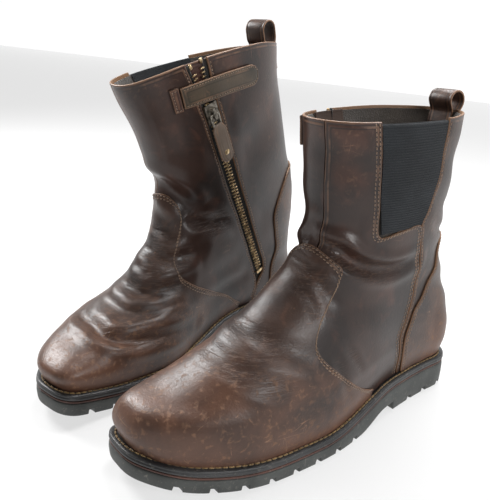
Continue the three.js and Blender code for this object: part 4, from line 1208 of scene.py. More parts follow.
# ---------------------------------------------------------------- the zip
@dataclass
class Zip(Assembly):
    """The side zip: its chain's line comes from the frame's joints. Sizes are in millimetres."""

    slot: float = 8.1  # half width between the leather edges
    flare: float = 3.0  # how much more it is at the collar
    pitch: float = 3.5
    tooth: tuple[float, float, float] = (4.3, 1.45, 2.4)
    tooth_head: tuple[float, float, float] = (1.3, 1.1, 2.7)
    top_stop: tuple[float, float, float] = (4.6, 3.0, 3.2)
    cord_radius: float = 0.75
    fork_slope: float = 0.13
    hinge_rise: float = 4.7  # the pull's hinge above the chain
    hinge_drop: float = 31.7  # and below the strap's upper edge
    slider_top: float = 21.0  # from the strap's upper edge to the slider's upper end
    tab_top: float = -9.2  # the tab's upper end, from the hinge up the chain
    tab_length: float = 38.0
    tab_half: float = 7.2
    tab_thick: float = 1.4  # half its thickness
    tab_lift: float = 0.8  # the tab lies this much above its hinge
    rivet: tuple[float, float, float] = (6.6, 6.6, 4.2)
    rivet_drop: float = 37.2
    rows: int = 90  # steps down a tape

    def __post_init__(self) -> None:
        """Reads the joints and finds where the chain runs on the skin."""
        skin = self.skin
        joints = {j["name"]: j for j in frame["record"]["behaviour"]["joints"]}
        slide, swing = joints[self.full("zip_slide")], joints[self.full("zip_pull_swing")]
        self.up = -unit(np.asarray(slide["axis"], float))
        across = unit(np.asarray(swing["axis"], float))
        self.toe = across if (skin.turn.T @ across)[1] < 0 else -across
        out = unit(np.cross(self.up, self.toe))
        self.out = out if out @ skin.sample(skin.base_normal, 1.55, 0.7) > 0 else -out
        self.hinge = np.asarray(swing["pos_m"], float)
        rise = self.hinge_drop + skin.strap_drop
        self.top = self.hinge + (self.up * rise - self.out * self.hinge_rise) * MM
        low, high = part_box(self.full("zip_teeth_front"))
        self.length = (high[2] - low[2]) / self.up[2] / MM + 1.0
        self.bottom = self.top - self.up * self.length * MM
        # The level and the place round the leg where the chain's plane cuts the skin.
        self.levels = np.linspace(0, 1, 81)
        u = np.linspace(1.02, 1.98, 260)
        middles = []
        for level in self.levels:
            gap = (skin.sample(skin.base, u, np.full(u.shape, level)) - self.bottom) @ self.toe
            middles.append(np.interp(0, gap, u))
        self.middles = np.array(middles)
        height = (skin.sample(skin.base, self.middles, self.levels) - self.bottom) @ self.up
        self.foot = float(np.interp(0, height, self.levels))
        foot_u = float(np.interp(self.foot, self.levels, self.middles))
        # Below the chain the slot is only a seam, which leans a little forward.
        low_part = self.levels < self.foot
        self.middles[low_part] = foot_u - 0.12 * (self.foot - self.levels[low_part])
        self.girths = np.array([skin.girth(float(v)) for v in self.levels[::8]])

    def keep_flat(self) -> Array:
        """0 beside the chain, where the leather stays flat, and 1 away from it."""
        rows, columns = self.skin.base.shape[:2]
        u = np.arange(columns)[None] * 2 / columns
        v = np.linspace(0, 1, rows)[:, None]
        off = np.abs((self.skin.base - self.bottom) @ self.toe) / MM
        chain = np.where(u > 1.0, ease(off, 12, 26), 1.0)
        stretched = ease(u, 0.20, 0.27) * (1 - ease(u, 0.60, 0.66)) * ease(v, 0.60, 0.68)
        return chain * (1 - 0.75 * stretched)

    def slot_at(self, v: Array, half: float) -> Place:
        """The slot's middle at level v, and its half width as a step of u; it closes below the foot.

        Args:
            v: Levels.
            half: The half width in millimetres.

        Returns:
            The middle and the half width, both in u.
        """
        middle = np.interp(v, self.levels, self.middles)
        girth = np.interp(v, self.levels[::8], self.girths) / MM
        open_ = ease(v, self.foot - 0.045, self.foot - 0.01)
        return middle, lerp(0.4, half + self.flare * ease(v, 0.88, 1), open_) / girth

    def point(self, x: Array, y: Array, z: float | Array) -> Array:
        """A point x millimetres towards the toe, y up the chain and z outwards."""
        return self.bottom + self.offset(x, y, z)

    def offset(self, x: Array, y: Array, z: float | Array) -> Array:
        """The same as a step from any place."""
        x, y, z = np.broadcast_arrays(np.asarray(x, float), y, z)
        return (x[..., None] * self.toe + y[..., None] * self.up + z[..., None] * self.out) * MM

    @property
    def fork(self) -> float:
        """How far up the chain the rows start to part."""
        return self.length - self.slider_top - self.skin.strap_drop

    def spread(self, y: Array) -> Array:
        """How far each row has parted at y."""
        return np.maximum(0, y - self.fork) * self.fork_slope

    def teeth(self) -> None:
        """Two rows of brass teeth that part above the slider, each with its top stop."""
        count = int((self.length - 7) / self.pitch)
        for label, way in (("front", 1.0), ("back", -1.0)):
            shift = 0 if way > 0 else self.pitch / 2
            y = 2.0 + shift + np.arange(count) * self.pitch
            origin = self.point(way * (1.8 + self.spread(y)), y, 0.0)
            lean = np.where(y > self.fork, self.fork_slope, 0.0)[:, None]
            outwards = unit(way * self.toe[None] - lean * self.up[None])
            upwards = unit(self.up[None] + way * lean * self.toe[None])
            teeth = copies(pill(*self.tooth, 10, 8), origin, outwards, upwards, self.out)
            tips = origin - outwards * 1.9 * MM
            heads = copies(pill(*self.tooth_head), tips, outwards, upwards, self.out)
            end = self.length - 2.6
            gap = 1.4 + (end - self.fork) * self.fork_slope
            stop_place = self.point([way * gap], [end], [0.0])
            stop = copies(pill(*self.top_stop, 10, 8), stop_place, self.up, self.toe, self.out)
            shape = joined([teeth, heads, stop])
            self.make(f"brass_teeth_{label}", shape, self.finishes.brass, "zip_brass", f"zip_teeth_{label}")

    def tapes(self) -> None:
        """A tape on each side, from the cord that carries the teeth to under the leather's edge."""
        share = np.linspace(0, 1, self.rows)
        ring = np.linspace(0, 2 * np.pi, 8, endpoint=False)[None]
        line = lerp(-3.0, self.length - 1.0, share)[:, None]
        for label, way in (("front", 1.0), ("back", -1.0)):
            _, b = np.meshgrid(share, np.linspace(0, 1, 9), indexing="ij")
            y = np.broadcast_to(line, b.shape)
            inner_hem = self.point(way * (2.6 + self.spread(y)), y, -1.9)
            v = lerp(self.foot, 0.992, share)[:, None] + 0 * b
            middle, half = self.slot_at(v, self.slot + 2.2)
            hem = self.skin.below(middle + way * self.girth_sign * half, v, 2.9)
            top = lerp(inner_hem, hem, (b**0.8)[..., None])
            low = top - self.out * 0.6 * MM
            points = np.concatenate([top.reshape(-1, 3), low.reshape(-1, 3)])
            x = way * (3.3 + self.spread(line)) + self.cord_radius * np.cos(ring)
            cord = tube_mesh(self.point(x, line, self.cord_radius * np.sin(ring) - 0.8))
            shape = joined([(points, slab_faces(*b.shape)), cord])
            self.make(f"woven_tape_{label}", shape, self.finishes.tape, "zip_tape", f"zip_tape_{label}")

    @property
    def girth_sign(self) -> float:
        """1 where u rises towards the toe on this side of the chain, else -1."""
        step = self.skin.sample(self.skin.base, 1.7, 0.7) - self.skin.sample(self.skin.base, 1.5, 0.7)
        return 1.0 if step @ self.toe > 0 else -1.0

    def pull(self) -> None:
        """The folded leather pull: superellipse sections whose width follows a tongue's outline."""
        s = np.concatenate([[0, 0.01, 0.03], np.linspace(0.06, 0.94, 40), [0.97, 0.99, 1.0]])
        y = self.tab_top - self.tab_length * s
        taper = lerp(0.62, 1.0, ease(s, 0.0, 0.17))
        end = np.clip((s * self.tab_length - self.tab_length + self.tab_half) / self.tab_half, 0, 1)
        half = (self.tab_half * taper * np.sqrt(np.maximum(1 - end**2, 0.003)))[:, None]
        thick = (self.tab_thick * np.minimum(1, np.minimum(s, 1 - s) * 28 + 0.35))[:, None]
        wide, deep = oval(np.linspace(0, 2 * np.pi, 32, endpoint=False), 0.42, 0.42)
        x, z = wide * half, deep * thick
        y = y[:, None] + 0 * x
        # The stitch line near the rim is pressed in.
        z = z * (1 - 0.18 * bell(np.abs(x) - (half - 1.7), 0.5)) + self.tab_lift * ease(s, 0, 0.2)[:, None]
        shape = tube_mesh(self.hinge + self.offset(x, y, z))
        edge = np.minimum(half - np.abs(x), 9).clip(0).ravel() + 0.25
        zero = np.zeros(edge.shape)
        self.make("leather_pull", shape, self.finishes.pull, "pull_leather", "zip_pull_tab", "zip_pull",
                  {"edge": edge, "flex": zero, "worn": zero + 0.5},
                  np.stack([x.ravel(), y.ravel()], -1) * MM)

    def domed_rivet(self) -> None:
        """The tab's brass rivet, domed on both faces."""
        place = self.hinge + (self.tab_lift * self.out - self.rivet_drop * self.up) * MM
        dome = copies(pill(*self.rivet, 20, 12), place[None], self.toe, self.up, self.out)
        self.make("domed_rivet", dome, self.finishes.brass, "zip_brass", "pull_rivet", "zip_pull")

    def build(self) -> None:
        """Builds the zip."""
        self.domed_rivet()
        self.teeth()
        self.tapes()
        self.pull()
        refine(self.full("zip_slider"), self.finishes.nickel, 0.0005)
        refine(self.full("zip_pull_link"), self.finishes.nickel, 0.0004)
        refine(self.full("zip_bottom_stop"), self.finishes.brass, 0.0004)


# ---------------------------------------------------------------- the upper
@dataclass
class Upper(Assembly):
    """Leather panels, elastic, lining and stiffeners of one boot."""

    zip: Zip
    front_seam: float = 0.045  # the shaft's front seam lies this far round from the middle
    seam_gap: float = 0.0014  # between the front seam and each quarter's edge
    near_row: float = 2.0  # the stitch rows' distances from a cut edge, in millimetres
    far_row: float = 4.7
    slot_row: float = 2.4
    strip_row: float = 1.8

    def put(self, name: str, panel: Panel, material: bpy.types.Material, node: str, slot: str,
            worn: Callable[[Array, Array], Array] = evenly(0.0)) -> None:
        """Makes one panel's piece, which stands for one node.

        Args:
            name: The piece's name.
            panel: Its sheet.
            material: Its finish.
            node: The node.
            slot: The record's material slot.
            worn: How worn the panel is at (u, v).
        """
        self.make(name, panel.mesh(), material, slot, node, attributes=panel.values(worn),
                  skin_map=panel.skin_map())

    def hidden_edge(self, line: Line, seam: float) -> list[tuple[float, float]]:
        """A quarter's edge: down the front seam, then a little under the vamp's edge to the welt.

        Args:
            line: The vamp's edge on that side.
            seam: Where the front seam lies, in u.

        Returns:
            The edge from the collar to the welt.
        """
        top = self.skin.profile.vamp_top
        edge = [(seam, 1.0), (seam, 0.86), (seam, 0.74)]
        for share in (0.13, 0.25, 0.34, 0.42, 0.5, 0.58, 0.66, 0.74, 0.84, 1):
            u, v = along(line, share)
            floor = seam if share < 0.2 else 0.004
            edge.append((max(floor, float(u) - TUCK), max(0.0, float(v - TUCK * 1.5) * top)))
        return edge

    @staticmethod
    def toe_wear(u: Array, v: Array) -> Array:
        """Wear over the toe and along the welt."""
        toe = 1.1 * bell(v - 0.08, 0.14) * bell(from_front(u), 0.36)
        return np.clip(toe + 0.4 * bell(v, 0.05) + 0.30, 0, 1)

    @staticmethod
    def shaft_wear(u: Array, v: Array) -> Array:
        """Wear round the collar and down the front of the shaft."""
        front = 0.45 * bell(from_front(u) - 0.16, 0.1) * bell(v - 0.8, 0.2)
        return np.clip(0.5 * bell(1 - v, 0.10) + front + 0.1, 0, 1)

    @staticmethod
    def heel_wear(u: Array, v: Array) -> Array:
        """Wear over the heel."""
        return np.clip(0.55 * bell(u - 1, 0.25) + 0.3 * bell(v, 0.12) + 0.15, 0, 1)

    def build(self) -> None:
        """Builds every piece, and the seams' stitches as one."""
        seams = self.vamp() + self.outer_side() + self.inner_side() + self.heel()
        self.elastic()
        self.inside()
        self.make("upper_stitching", joined(seams), self.finishes.thread, "brown_leather")

    def vamp(self) -> list[Shape]:
        """The vamp and the stiffener in its toe; returns the vamp's stitch rows."""
        f, top = self.finishes, self.skin.profile.vamp_top
        edge = [(u - 2, v) for u, v in reversed(on_inner_side(VAMP_INNER))] + list(VAMP_OUTER[1:])
        edge = rounded([(u, v * top) for u, v in edge])

        def vamp_place(a: Array, b: Array) -> Place:
            """From the welt (b = 0) to the vamp's edge (b = 1)."""
            u, v = along(edge, a)
            return lerp(lerp(-0.665, 0.605, a), u, b), v * b

        def puff_place(a: Array, b: Array) -> Place:
            """The part of the vamp over the toe."""
            return vamp_place(lerp(0.31, 0.69, a), lerp(0.02, 0.3, b))

        vamp = Panel(self.skin, vamp_place, OVER, ("second",), pitch=1.45)
        self.put("vamp_leather", vamp, f.brown, "vamp", "brown_leather", self.toe_wear)
        puff = Panel(self.skin, puff_place, (0.95, 2.2), (), pitch=4.0)
        self.put("toe_puff_shell", puff, f.stiffener, "toe_puff", "stiffener")
        return [vamp.stitches("second", self.near_row), vamp.stitches("second", self.far_row)]

    def outer_side(self) -> list[Shape]:
        """The two outer quarters; returns their stitch rows."""
        f, skin, wear = self.finishes, self.skin, self.shaft_wear
        edge = self.hidden_edge(VAMP_OUTER, self.front_seam + self.seam_gap)
        front = Panel(skin, between(edge, QUARTER_REAR), UNDER, ("start", "second", "first"))
        self.put("outer_front_quarter", front, f.smooth, "quarter_lateral", "smooth_leather", wear)
        rear = Panel(skin, between(REAR_FRONT, REAR_BACK), UNDER, ("start", "first"))
        self.put("outer_rear_quarter", rear, f.brown, "quarter_lateral_back", "smooth_leather", wear)
        return [front.stitches("second", self.near_row, skip=2), front.stitches("second", 4.8, skip=2),
                rear.stitches("first", self.near_row)]

    def inner_side(self) -> list[Shape]:
        """The two inner quarters, one each side of the zip; returns their stitch rows."""
        f, skin, seam, wear = self.finishes, self.skin, self.front_seam, self.shaft_wear
        edge = on_inner_side(self.hidden_edge(VAMP_INNER, 0.004))
        edge[:3] = [(2 + seam - self.seam_gap, v) for _, v in edge[:3]]
        edge[3] = (2 + 0.5 * seam, edge[3][1])
        levels = np.linspace(1, 0, 13)
        middle, half = self.zip.slot_at(levels, self.zip.slot)
        half = half * self.zip.girth_sign
        toe_side, heel_side = list(zip(middle + half, levels)), list(zip(middle - half, levels))
        front = Panel(skin, between(edge, toe_side), UNDER, ("start", "second"))
        self.put("inner_front_quarter", front, f.smooth, "quarter_medial_front", "smooth_leather", wear)
        back = Panel(skin, between(heel_side, MEDIAL_BACK), UNDER, ("start", "first"))
        self.put("inner_rear_quarter", back, f.smooth, "quarter_medial_back", "smooth_leather", wear)
        return [front.stitches("second", self.slot_row), back.stitches("first", self.slot_row)]

    def heel(self) -> list[Shape]:
        """The heel counter, the strip up the back seam and the stiffener; returns their stitch rows."""
        f, skin = self.finishes, self.skin
        counter = Panel(skin, between(HEEL_OUTER, HEEL_INNER), OVER, ("start", "first", "second"))
        self.put("heel_patch", counter, f.brown, "heel_counter", "brown_leather", self.heel_wear)
        seams = [counter.stitches(border, inset) for border in ("first", "second")
                 for inset in (self.near_row, 4.6)]
        seams.append(counter.stitches("start", self.near_row))
        strip = Panel(skin, lambda a, b: (lerp(0.965, 1.035, b), lerp(0.605, 0.985, a)), OVER)
        self.put("rear_strip", strip, f.brown, "back_strip", "brown_leather", self.heel_wear)
        seams += [strip.stitches(border, self.strip_row) for border in ("first", "second")]
        stiff = Panel(skin, between(STIFFENER_OUTER, STIFFENER_INNER), (2.7, 3.8), (), pitch=4.0)
        self.put("heel_cup", stiff, f.stiffener, "heel_stiffener", "stiffener")
        return seams

    def elastic(self) -> None:
        """The ribbed gusset, and its bare back inside the collar."""
        place = between(ELASTIC_FRONT, ELASTIC_REAR)
        ribbed = Panel(self.skin, place, (1.25, 2.4), ("start",), pitch=2.0, ribs=1.9)
        behind = Panel(self.skin, place, (5.05, 5.5), (), pitch=3.0, sink=comes_up(1.1))
        shape = joined([ribbed.mesh(), behind.mesh()])
        self.make("ribbed_elastic", shape, self.finishes.elastic, "elastic", "elastic_gusset")

    def inside(self) -> None:
        """The lining, which runs round the leg from one side of the zip to the other, and the guard."""

        def lining_place(a: Array, b: Array) -> Place:
            """From the welt to the collar, and round the leg."""
            v = lerp(0.012, 0.99, a)
            middle, half = self.zip.slot_at(v, self.zip.slot + 5.0)
            return lerp(middle - half, middle + half - 2, b), v

        def guard_place(a: Array, b: Array) -> Place:
            """A strip behind the zip, up to the collar."""
            v = lerp(0.3, 0.995, a)
            middle, half = self.zip.slot_at(v, 17.0)
            return lerp(middle - half, middle + half, b), v

        lining = Panel(self.skin, lining_place, (4.0, 5.0), (), pitch=2.4, sink=comes_up(1.25))
        self.put("soft_lining", lining, self.finishes.lining, "lining", "lining")
        guard = Panel(self.skin, guard_place, (5.6, 7.0), sink=comes_up(1.2))
        self.put("guard_leather", guard, self.finishes.red, "zip_guard", "red_leather", evenly(0.5))


# ---------------------------------------------------------------- strap and pull loop
@dataclass
class Strap(Assembly):
    """The closure strap over the zip's top: sewn at the toe side, with a rounded free end."""

    width: float = 19.0
    reach: float = 86.0
    sewn_u: float = 1.8
    rub: float = 0.45  # how worn the strap and its patch are

    def build(self) -> None:
        """Builds the strap, its anchor patch and their stitches."""
        half = self.width / 2
        levels = np.linspace(1, 0.7, 121)
        line = self.skin.sample(self.skin.base, 1.65, levels)
        far = np.linalg.norm(line - line[0], axis=-1) / MM
        level = float(np.interp(self.skin.strap_drop + half, far, levels))
        dv = level - float(np.interp(self.skin.strap_drop + 2 * half, far, levels))
        du = MM / self.skin.girth(level)

        def strap_place(a: Array, b: Array) -> Place:
            """Along the strap (a) and across it (b); the free end narrows as a quarter circle."""
            end = np.clip((self.reach * a - self.reach + half) / half, 0, 1)
            narrow = np.sqrt(1 - 0.9 * end * end)
            return self.sewn_u - 0.012 - a * self.reach * du, level + (2 * b - 1) * dv * narrow

        def patch_place(a: Array, b: Array) -> Place:
            """The patch under the strap's sewn end, a little wider than it."""
            return lerp(self.sewn_u + 6 * du, self.sewn_u - du, a), level + (2 * b - 1) * dv * 1.15

        f, worn = self.finishes, evenly(self.rub)
        band = Panel(self.skin, strap_place, STRAP, pitch=1.3)
        self.make("strap_leather", band.mesh(), f.strap, "strap_leather", "closure_strap", "strap",
                  band.values(worn), band.skin_map())
        rows = [band.stitches(border, 2.0, 2.9, 3.0, (2.1, 0.7, 0.6)) for border in ("first", "second")]
        self.make("strap_stitching", joined(rows), f.thread, "strap_leather", body="strap")
        patch = Panel(self.skin, patch_place, (STRAP[0] - 0.2, 0.85), pitch=1.2)
        self.make("strap_patch", patch.mesh(), f.red, "red_leather", "strap_anchor",
                  attributes=patch.values(worn), skin_map=patch.skin_map())
        rows = [patch.stitches(border, 1.6, 2.6, 1.6, (2.0, 0.7, 0.6))
                for border in ("first", "second", "start")]
        self.make("patch_stitching", joined(rows), f.thread, "red_leather")


@dataclass
class PullLoop(Assembly):
    """The band folded over the back of the collar. Sizes are in millimetres."""

    width: float = 22.0
    thick: float = 1.8
    leg: float = 23.0  # how far each end reaches down from the collar
    radius: float = 8.85
    middle: float = -3.75  # the arch's middle, outwards from the skin
    outer_leg: float = 1.9  # where the two ends lie, outwards from the skin
    inner_leg: float = -6.9
    row: float = 2.2  # the stitch rows' distance from the band's edges

    def path(self) -> Array:
        """The band's middle line as (outwards, upwards): up one leg, over the arch, down inside."""
        rise = self.skin.profile.loop_rise
        rising = np.linspace(-self.leg, rise, 34)
        swell = ease(rising, -4, min(9.0, rise))
        outer = np.stack([lerp(self.outer_leg, self.middle + self.radius, swell), rising], -1)
        inside = np.stack([lerp(self.inner_leg, self.middle - self.radius, swell), rising], -1)[::-1]
        turn = np.linspace(0, np.pi, 26)[1:-1]
        lift = rise + self.radius * np.sin(turn) * 0.92
        arch = np.stack([self.middle + self.radius * np.cos(turn), lift], -1)
        return np.concatenate([outer, arch, inside])

    def build(self) -> None:
        """Carries a rounded flat section along the path and sews its outer leg."""
        skin, f = self.skin, self.finishes
        back = skin.at(1.0, 1.0)
        up = unit(skin.at(1.0, 0.97) - skin.at(1.0, 0.88))
        across = unit(np.cross(up, skin.normal(1.0, 0.95)))
        out = unit(np.cross(across, up))
        path = self.path()
        forward = unit(np.gradient(path, axis=0))
        sideways = np.stack([forward[:, 1], -forward[:, 0]], -1)
        wide, deep = oval(np.linspace(0, 2 * np.pi, 44, endpoint=False), 0.22, 0.35)
        half = self.width / 2
        wide, deep = wide * half, deep * self.thick / 2
        deep = deep * (1 - 0.35 * bell(np.abs(wide) - (half - self.row), 0.6))

        def place(flat: Array, breadth: Array) -> Array:
            """Points from (outwards, upwards) and their place across the band."""
            return back + (flat[..., :1] * out + flat[..., 1:] * up + breadth * across) * MM

        flat = path[:, None] + deep[None, :, None] * sideways[:, None]
        shape = tube_mesh(place(flat, wide[None, :, None] + 0 * flat[..., :1]))
        edge = np.tile(np.minimum(half - np.abs(wide), 9).clip(0) + 0.1, len(path))
        run = np.repeat(np.arange(len(path)) * 1.1, len(wide))
        self.make("folded_loop", shape, f.brown, "brown_leather", "pull_loop",
                  attributes={"edge": edge, "flex": 0 * edge, "worn": 0 * edge + 0.55},
                  skin_map=np.stack([np.tile(wide, len(path)), run], -1) * MM)
        sewn = slice(2, 30, 3)
        spots = path[sewn] + sideways[sewn] * self.thick / 2
        rows = [copies(pill(2.3, 0.7, 0.7), place(spots, way * (half - self.row)), up, across, out)
                for way in (-1, 1)]
        self.make("loop_stitching", joined(rows), f.thread, "brown_leather")


# ---------------------------------------------------------------- the sole
@dataclass
class Sole(Assembly):
    """Outsole with lugs and heel block, the thin layer above it, the stitched welt and the footbed.

    Sizes are in millimetres, and the profiles are pairs of inset from the outline and height.
    """

    welt_thickness: float = 5.4
    layer: float = 1.6
    seat: float = 0.3
    heel_length: float = 88.0
    lug_depth: float = 4.0
    groove_half: float = 2.6
    step: float = 2.6  # the stations' step on plain layers
    line_profile: Line = ((11.0, 0.0), (0.7, 0.0), (0.35, 0.4), (0.35, 1.2), (0.7, 1.6), (11.0, 1.6))
    rim_profile: Line = ((11, -0.3), (5.0, -0.25), (2.2, -0.1), (1.0, -0.35), (0.35, -0.95), (0.2, -1.7),
                         (0.75, -2.3), (0.25, -2.9), (0.0, -3.8), (0.2, -4.7), (0.9, -5.3), (11, -5.4))
    bed_profile: Line = ((15.5, 0.3), (14.7, 0.9), (14.4, 2.2), (15.2, 3.6), (18.0, 4.3), (24.0, 4.4))

    def grooves(self) -> Array:
        """The cross grooves' stations: every 22 under the heel and every 21 under the forefoot."""
        return np.concatenate([np.arange(20, self.heel_length - 10, 22), np.arange(148, 300, 21)])

    def stations(self, step: float, lugs: bool = False) -> Array:
        """Stations from heel to toe that crowd at the ends and at each groove's walls.

        Args:
            step: The step between the ends.
            lugs: Whether the grooves need their own stations.

        Returns:
            Rising stations.
        """
        arc = LENGTH / 2 * (1 - np.cos(np.linspace(0, np.pi, 90)))
        even = np.arange(step, LENGTH, step)
        extra = np.zeros(0)
        if lugs:
            walls = self.groove_half + np.array([-0.5, -0.1, 0.4])
            middles = self.grooves()[:, None]
            heel = self.heel_length + np.array([0, 0.7, 1.5])
            extra = np.concatenate([(middles + walls).ravel(), (middles - walls).ravel(), heel])
        every = np.sort(np.concatenate([arc, even, extra]))
        return every[np.concatenate([[True], np.diff(every) > 0.12])]

    def ring(self, stations: Array, inset: float, height: Callable[[Array], Array]) -> Array:
        """One closed line round the sole: its outer side from heel to toe, then its inner side back.

        Args:
            stations: Where it has its points.
            inset: How far inside the outline it runs.
            height: Its height at each station.

        Returns:
            Its points in metres.
        """
        start = inset * 1.05
        l = start + stations / LENGTH * (LENGTH - 2 * start)
        centre = through(stations, CENTRE_STATION, CENTRE_SHIFT)
        sides = []
        for side in (1, -1):
            half = np.maximum(sole_half(stations, side) - inset, 0.4)
            sides.append(self.skin.world(l, side * half + centre, height(l)))
        return np.concatenate([sides[0], sides[1][::-1]])

    def rings(self, profile: Line, base: Callable[[Array], Array]) -> Array:
        """The rings of (inset, height) sections above a base face."""
        stations = self.stations(self.step)
        return np.stack([self.ring(stations, inset, lambda l, z=z: base(l) + z) for inset, z in profile])

    def tread(self, l: Array) -> Array:
        """The ground face without its lugs: flat under heel and ball, hollow in the waist."""
        arch = 8 * ease(l, self.heel_length, self.heel_length + 1.5) * (1 - ease(l, 104, 140))
        return arch + toe_lift(l) * 0.92

    def ground(self, l: Array) -> Array:
        """The ground face with its grooves cut in."""
        off = np.abs(l[:, None] - self.grooves()[None]).min(1)
        wall = ease(off, self.groove_half - 0.3, self.groove_half + 0.3)
        return self.tread(l) + self.lug_depth * (1 - wall)

    def outsole_top(self, l: Array) -> Array:
        """The outsole's upper face."""
        return welt_top(l) - self.welt_thickness - self.layer - 2 * self.seat

    def layer_base(self, l: Array) -> Array:
        """The thin layer's lower face."""
        return self.outsole_top(l) + self.seat

    def outsole(self) -> None:
        """The wall swells a little over the lugs, and the lugs' lower edges are worn round."""

        def above(rise: float) -> Callable[[Array], Array]:
            """A height over the grooved ground face."""
            return lambda l: self.ground(l) + rise

        def round_edge(l: Array) -> Array:
            """Where the worn edge ends, at most just over the grooves."""
            return np.minimum(self.ground(l) + 2.2, self.tread(l) + 4.6)

        def wall(share: float) -> Callable[[Array], Array]:
            """A share of the way from just over the grooves to the top."""
            return lambda l: lerp(self.tread(l) + self.lug_depth + 0.9, self.outsole_top(l), share)

        stations = self.stations(1.9, lugs=True)
        sections = [(2.2, self.ground), (0.9, above(0.25)), (0.35, above(0.9)), (0.15, round_edge),
                    (0.0, wall(0.0)), (-0.15, wall(0.35)), (0.0, wall(0.8)), (0.35, wall(0.95)),
                    (1.1, wall(1.0))]
        shape = tube_mesh(np.stack([self.ring(stations, inset, height) for inset, height in sections]))
        self.make("lugged_sole", shape, self.finishes.rubber, "sole_rubber", "outsole")

    def welt_stitches(self) -> None:
        """A coarse ochre stitch round the feather, where the upper meets the welt."""
        line = self.ring(self.stations(1.5), 3.4, lambda l: welt_top(l) + 0.25)
        closed = np.concatenate([line, line[:1]])
        run = run_along(closed, 0) / MM
        marks = np.arange(0, run[-1] - 2, 4.7)
        spot = np.stack([np.interp(marks, run, closed[:, k]) for k in range(3)], -1)
        forward = unit(np.roll(spot, -1, 0) - np.roll(spot, 1, 0))
        up = np.array([0.0, 0.0, 1.0])
        shape = copies(pill(4.3, 1.5, 1.3), spot, forward, unit(np.cross(up, forward)), up)
        self.make("welt_stitching", shape, self.finishes.welt_thread, "welt")

    def build(self) -> None:
        """Builds the sole from the ground up; the footbed is a soft sock sheet with a rounded rim."""
        f = self.finishes
        self.outsole()
        line = ring_mesh(self.rings(self.line_profile, self.layer_base))
        self.make("sole_line", line, f.line, "sole_line", "midsole")
        self.make("welt_rim", ring_mesh(self.rings(self.rim_profile, welt_top)), f.welt, "welt", "welt")
        bed = self.make("padded_footbed", tube_mesh(self.rings(self.bed_profile, welt_top)), f.footbed,
                        "footbed", "footbed")
        self.welt_stitches()
        refine(self.full("insole_board"), f.board, 0)
        refine(self.full("shank"), f.steel, 0)


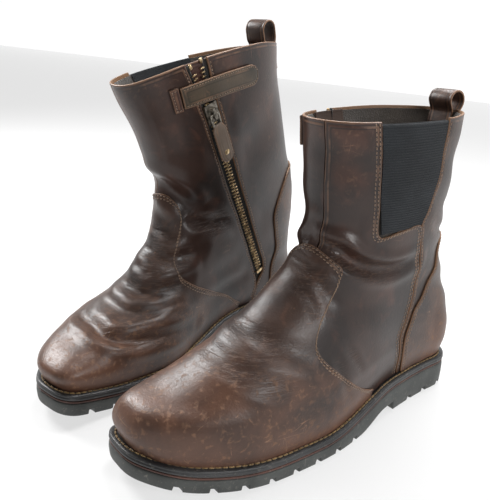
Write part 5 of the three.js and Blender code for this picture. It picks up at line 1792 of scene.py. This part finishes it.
# ---------------------------------------------------------------- studio
@dataclass
class Studio:
    """A pale floor and backdrop, soft lights and the camera.

    The camera's two places are millimetres from the left boot's origin. The floor's and the
    backdrop's sizes are metres.
    """

    position: tuple[float, float, float] = (297.5, -321.7, 294.4)
    target: tuple[float, float, float] = (-139.83, 37.43, 95.03)
    roll: float = 2.7  # degrees
    lens: float = 43.46
    sensor: float = 36.0
    left: float = -14.0
    right: float = 8.0
    near: float = -6.0
    far: float = 3.0
    height: float = 1.6
    room_light: float = 0.20
    glow: tuple[float, float, float] = (0.88, 0.88, 0.88)

    def light(self, name: str, place: tuple[float, float, float], aim: tuple[float, float, float],
              size: float, power: float) -> None:
        """A square soft light at a place, facing a point.

        Args:
            name: Its name.
            place: Where it hangs.
            aim: What it faces.
            size: Its side in metres.
            power: Its power in watts.
        """
        lamp = bpy.data.lights.new(name, "AREA")
        lamp.shape = "SQUARE"
        lamp.size = size
        lamp.energy = power
        thing = bpy.data.objects.new(name, lamp)
        thing.location = place
        thing.rotation_euler = (Vector(aim) - Vector(place)).to_track_quat("-Z", "Y").to_euler()
        bpy.context.scene.collection.objects.link(thing)

    def card(self, name: str, corners: Sequence[tuple[float, float, float]], white: float,
             glow: float) -> None:
        """A flat white sheet that glows a little.

        Args:
            name: Its name.
            corners: Its four corners in metres.
            white: How pale it is.
            glow: How strongly it glows.
        """
        mesh = bpy.data.meshes.new(name)
        mesh.from_pydata(list(corners), [], [(0, 1, 2, 3)])
        paper = Graph(name).finish(Base_Color=(white, white, white), Roughness=0.9,
                                   Emission_Color=self.glow, Emission_Strength=glow)
        mesh.materials.append(paper)
        thing = bpy.data.objects.new(name, mesh)
        bpy.context.scene.collection.objects.link(thing)

    def build(self, origin: Array) -> None:
        """Adds everything that isn't the object; origin is the left boot's own, in metres."""
        scene = bpy.context.scene
        scene.view_settings.view_transform = "Standard"
        world = bpy.data.worlds.new("pale room")
        world.use_nodes = True
        background = world.node_tree.nodes["Background"]
        background.inputs[0].default_value = (1.0, 1.0, 1.0, 1.0)
        background.inputs[1].default_value = self.room_light
        scene.world = world
        foot = [(self.left, self.far, 0), (self.right, self.far, 0)]
        front = [(self.left, self.near, 0), (self.right, self.near, 0)]
        head = [(self.right, self.far, self.height), (self.left, self.far, self.height)]
        self.card("floor", [*front, *foot[::-1]], 0.27, 0.76)
        self.card("backdrop", [*foot, *head], 0.34, 0.97)
        self.light("overhead", (-0.15, 0.45, 1.15), (-0.02, 0, 0.1), 0.7, 21)
        self.light("left window", (-1.1, -0.35, 0.95), (-0.05, -0.05, 0.1), 0.55, 25)
        self.light("right window", (1.35, 0.15, 0.75), (0, 0, 0.1), 0.45, 10)
        eye, aim = np.array(self.position), np.array(self.target)
        forward = unit(aim - eye)
        right = unit(np.cross(forward, [0, 0, 1]))
        up = np.cross(right, forward)
        c, s = np.cos(np.radians(self.roll)), np.sin(np.radians(self.roll))
        x, y = c * right + s * up, -s * right + c * up
        camera = bpy.data.cameras.new("camera")
        camera.lens = self.lens
        camera.sensor_width = self.sensor
        holder = bpy.data.objects.new("camera", camera)
        matrix = np.eye(4)
        matrix[:3] = np.stack([x, y, -forward, origin + eye * MM], -1)
        holder.matrix_world = Matrix(matrix.tolist())
        scene.collection.objects.link(holder)
        scene.camera = holder


def main() -> None:
    """Builds both boots and the studio."""
    logging.basicConfig(level=logging.INFO, format="%(name)s: %(message)s")
    finishes = Finishes()
    skins = {side: Skin(side, profile) for side, profile in ((Side.LEFT, LEFT), (Side.RIGHT, RIGHT))}
    Studio().build(skins[Side.LEFT].origin)
    for side, skin in skins.items():
        zip_ = Zip(side, skin, finishes)
        skin.crease(zip_.keep_flat())
        Sole(side, skin, finishes).build()
        Upper(side, skin, finishes, zip_).build()
        zip_.build()
        Strap(side, skin, finishes).build()
        PullLoop(side, skin, finishes).build()


if __name__ == "__main__":
    main()
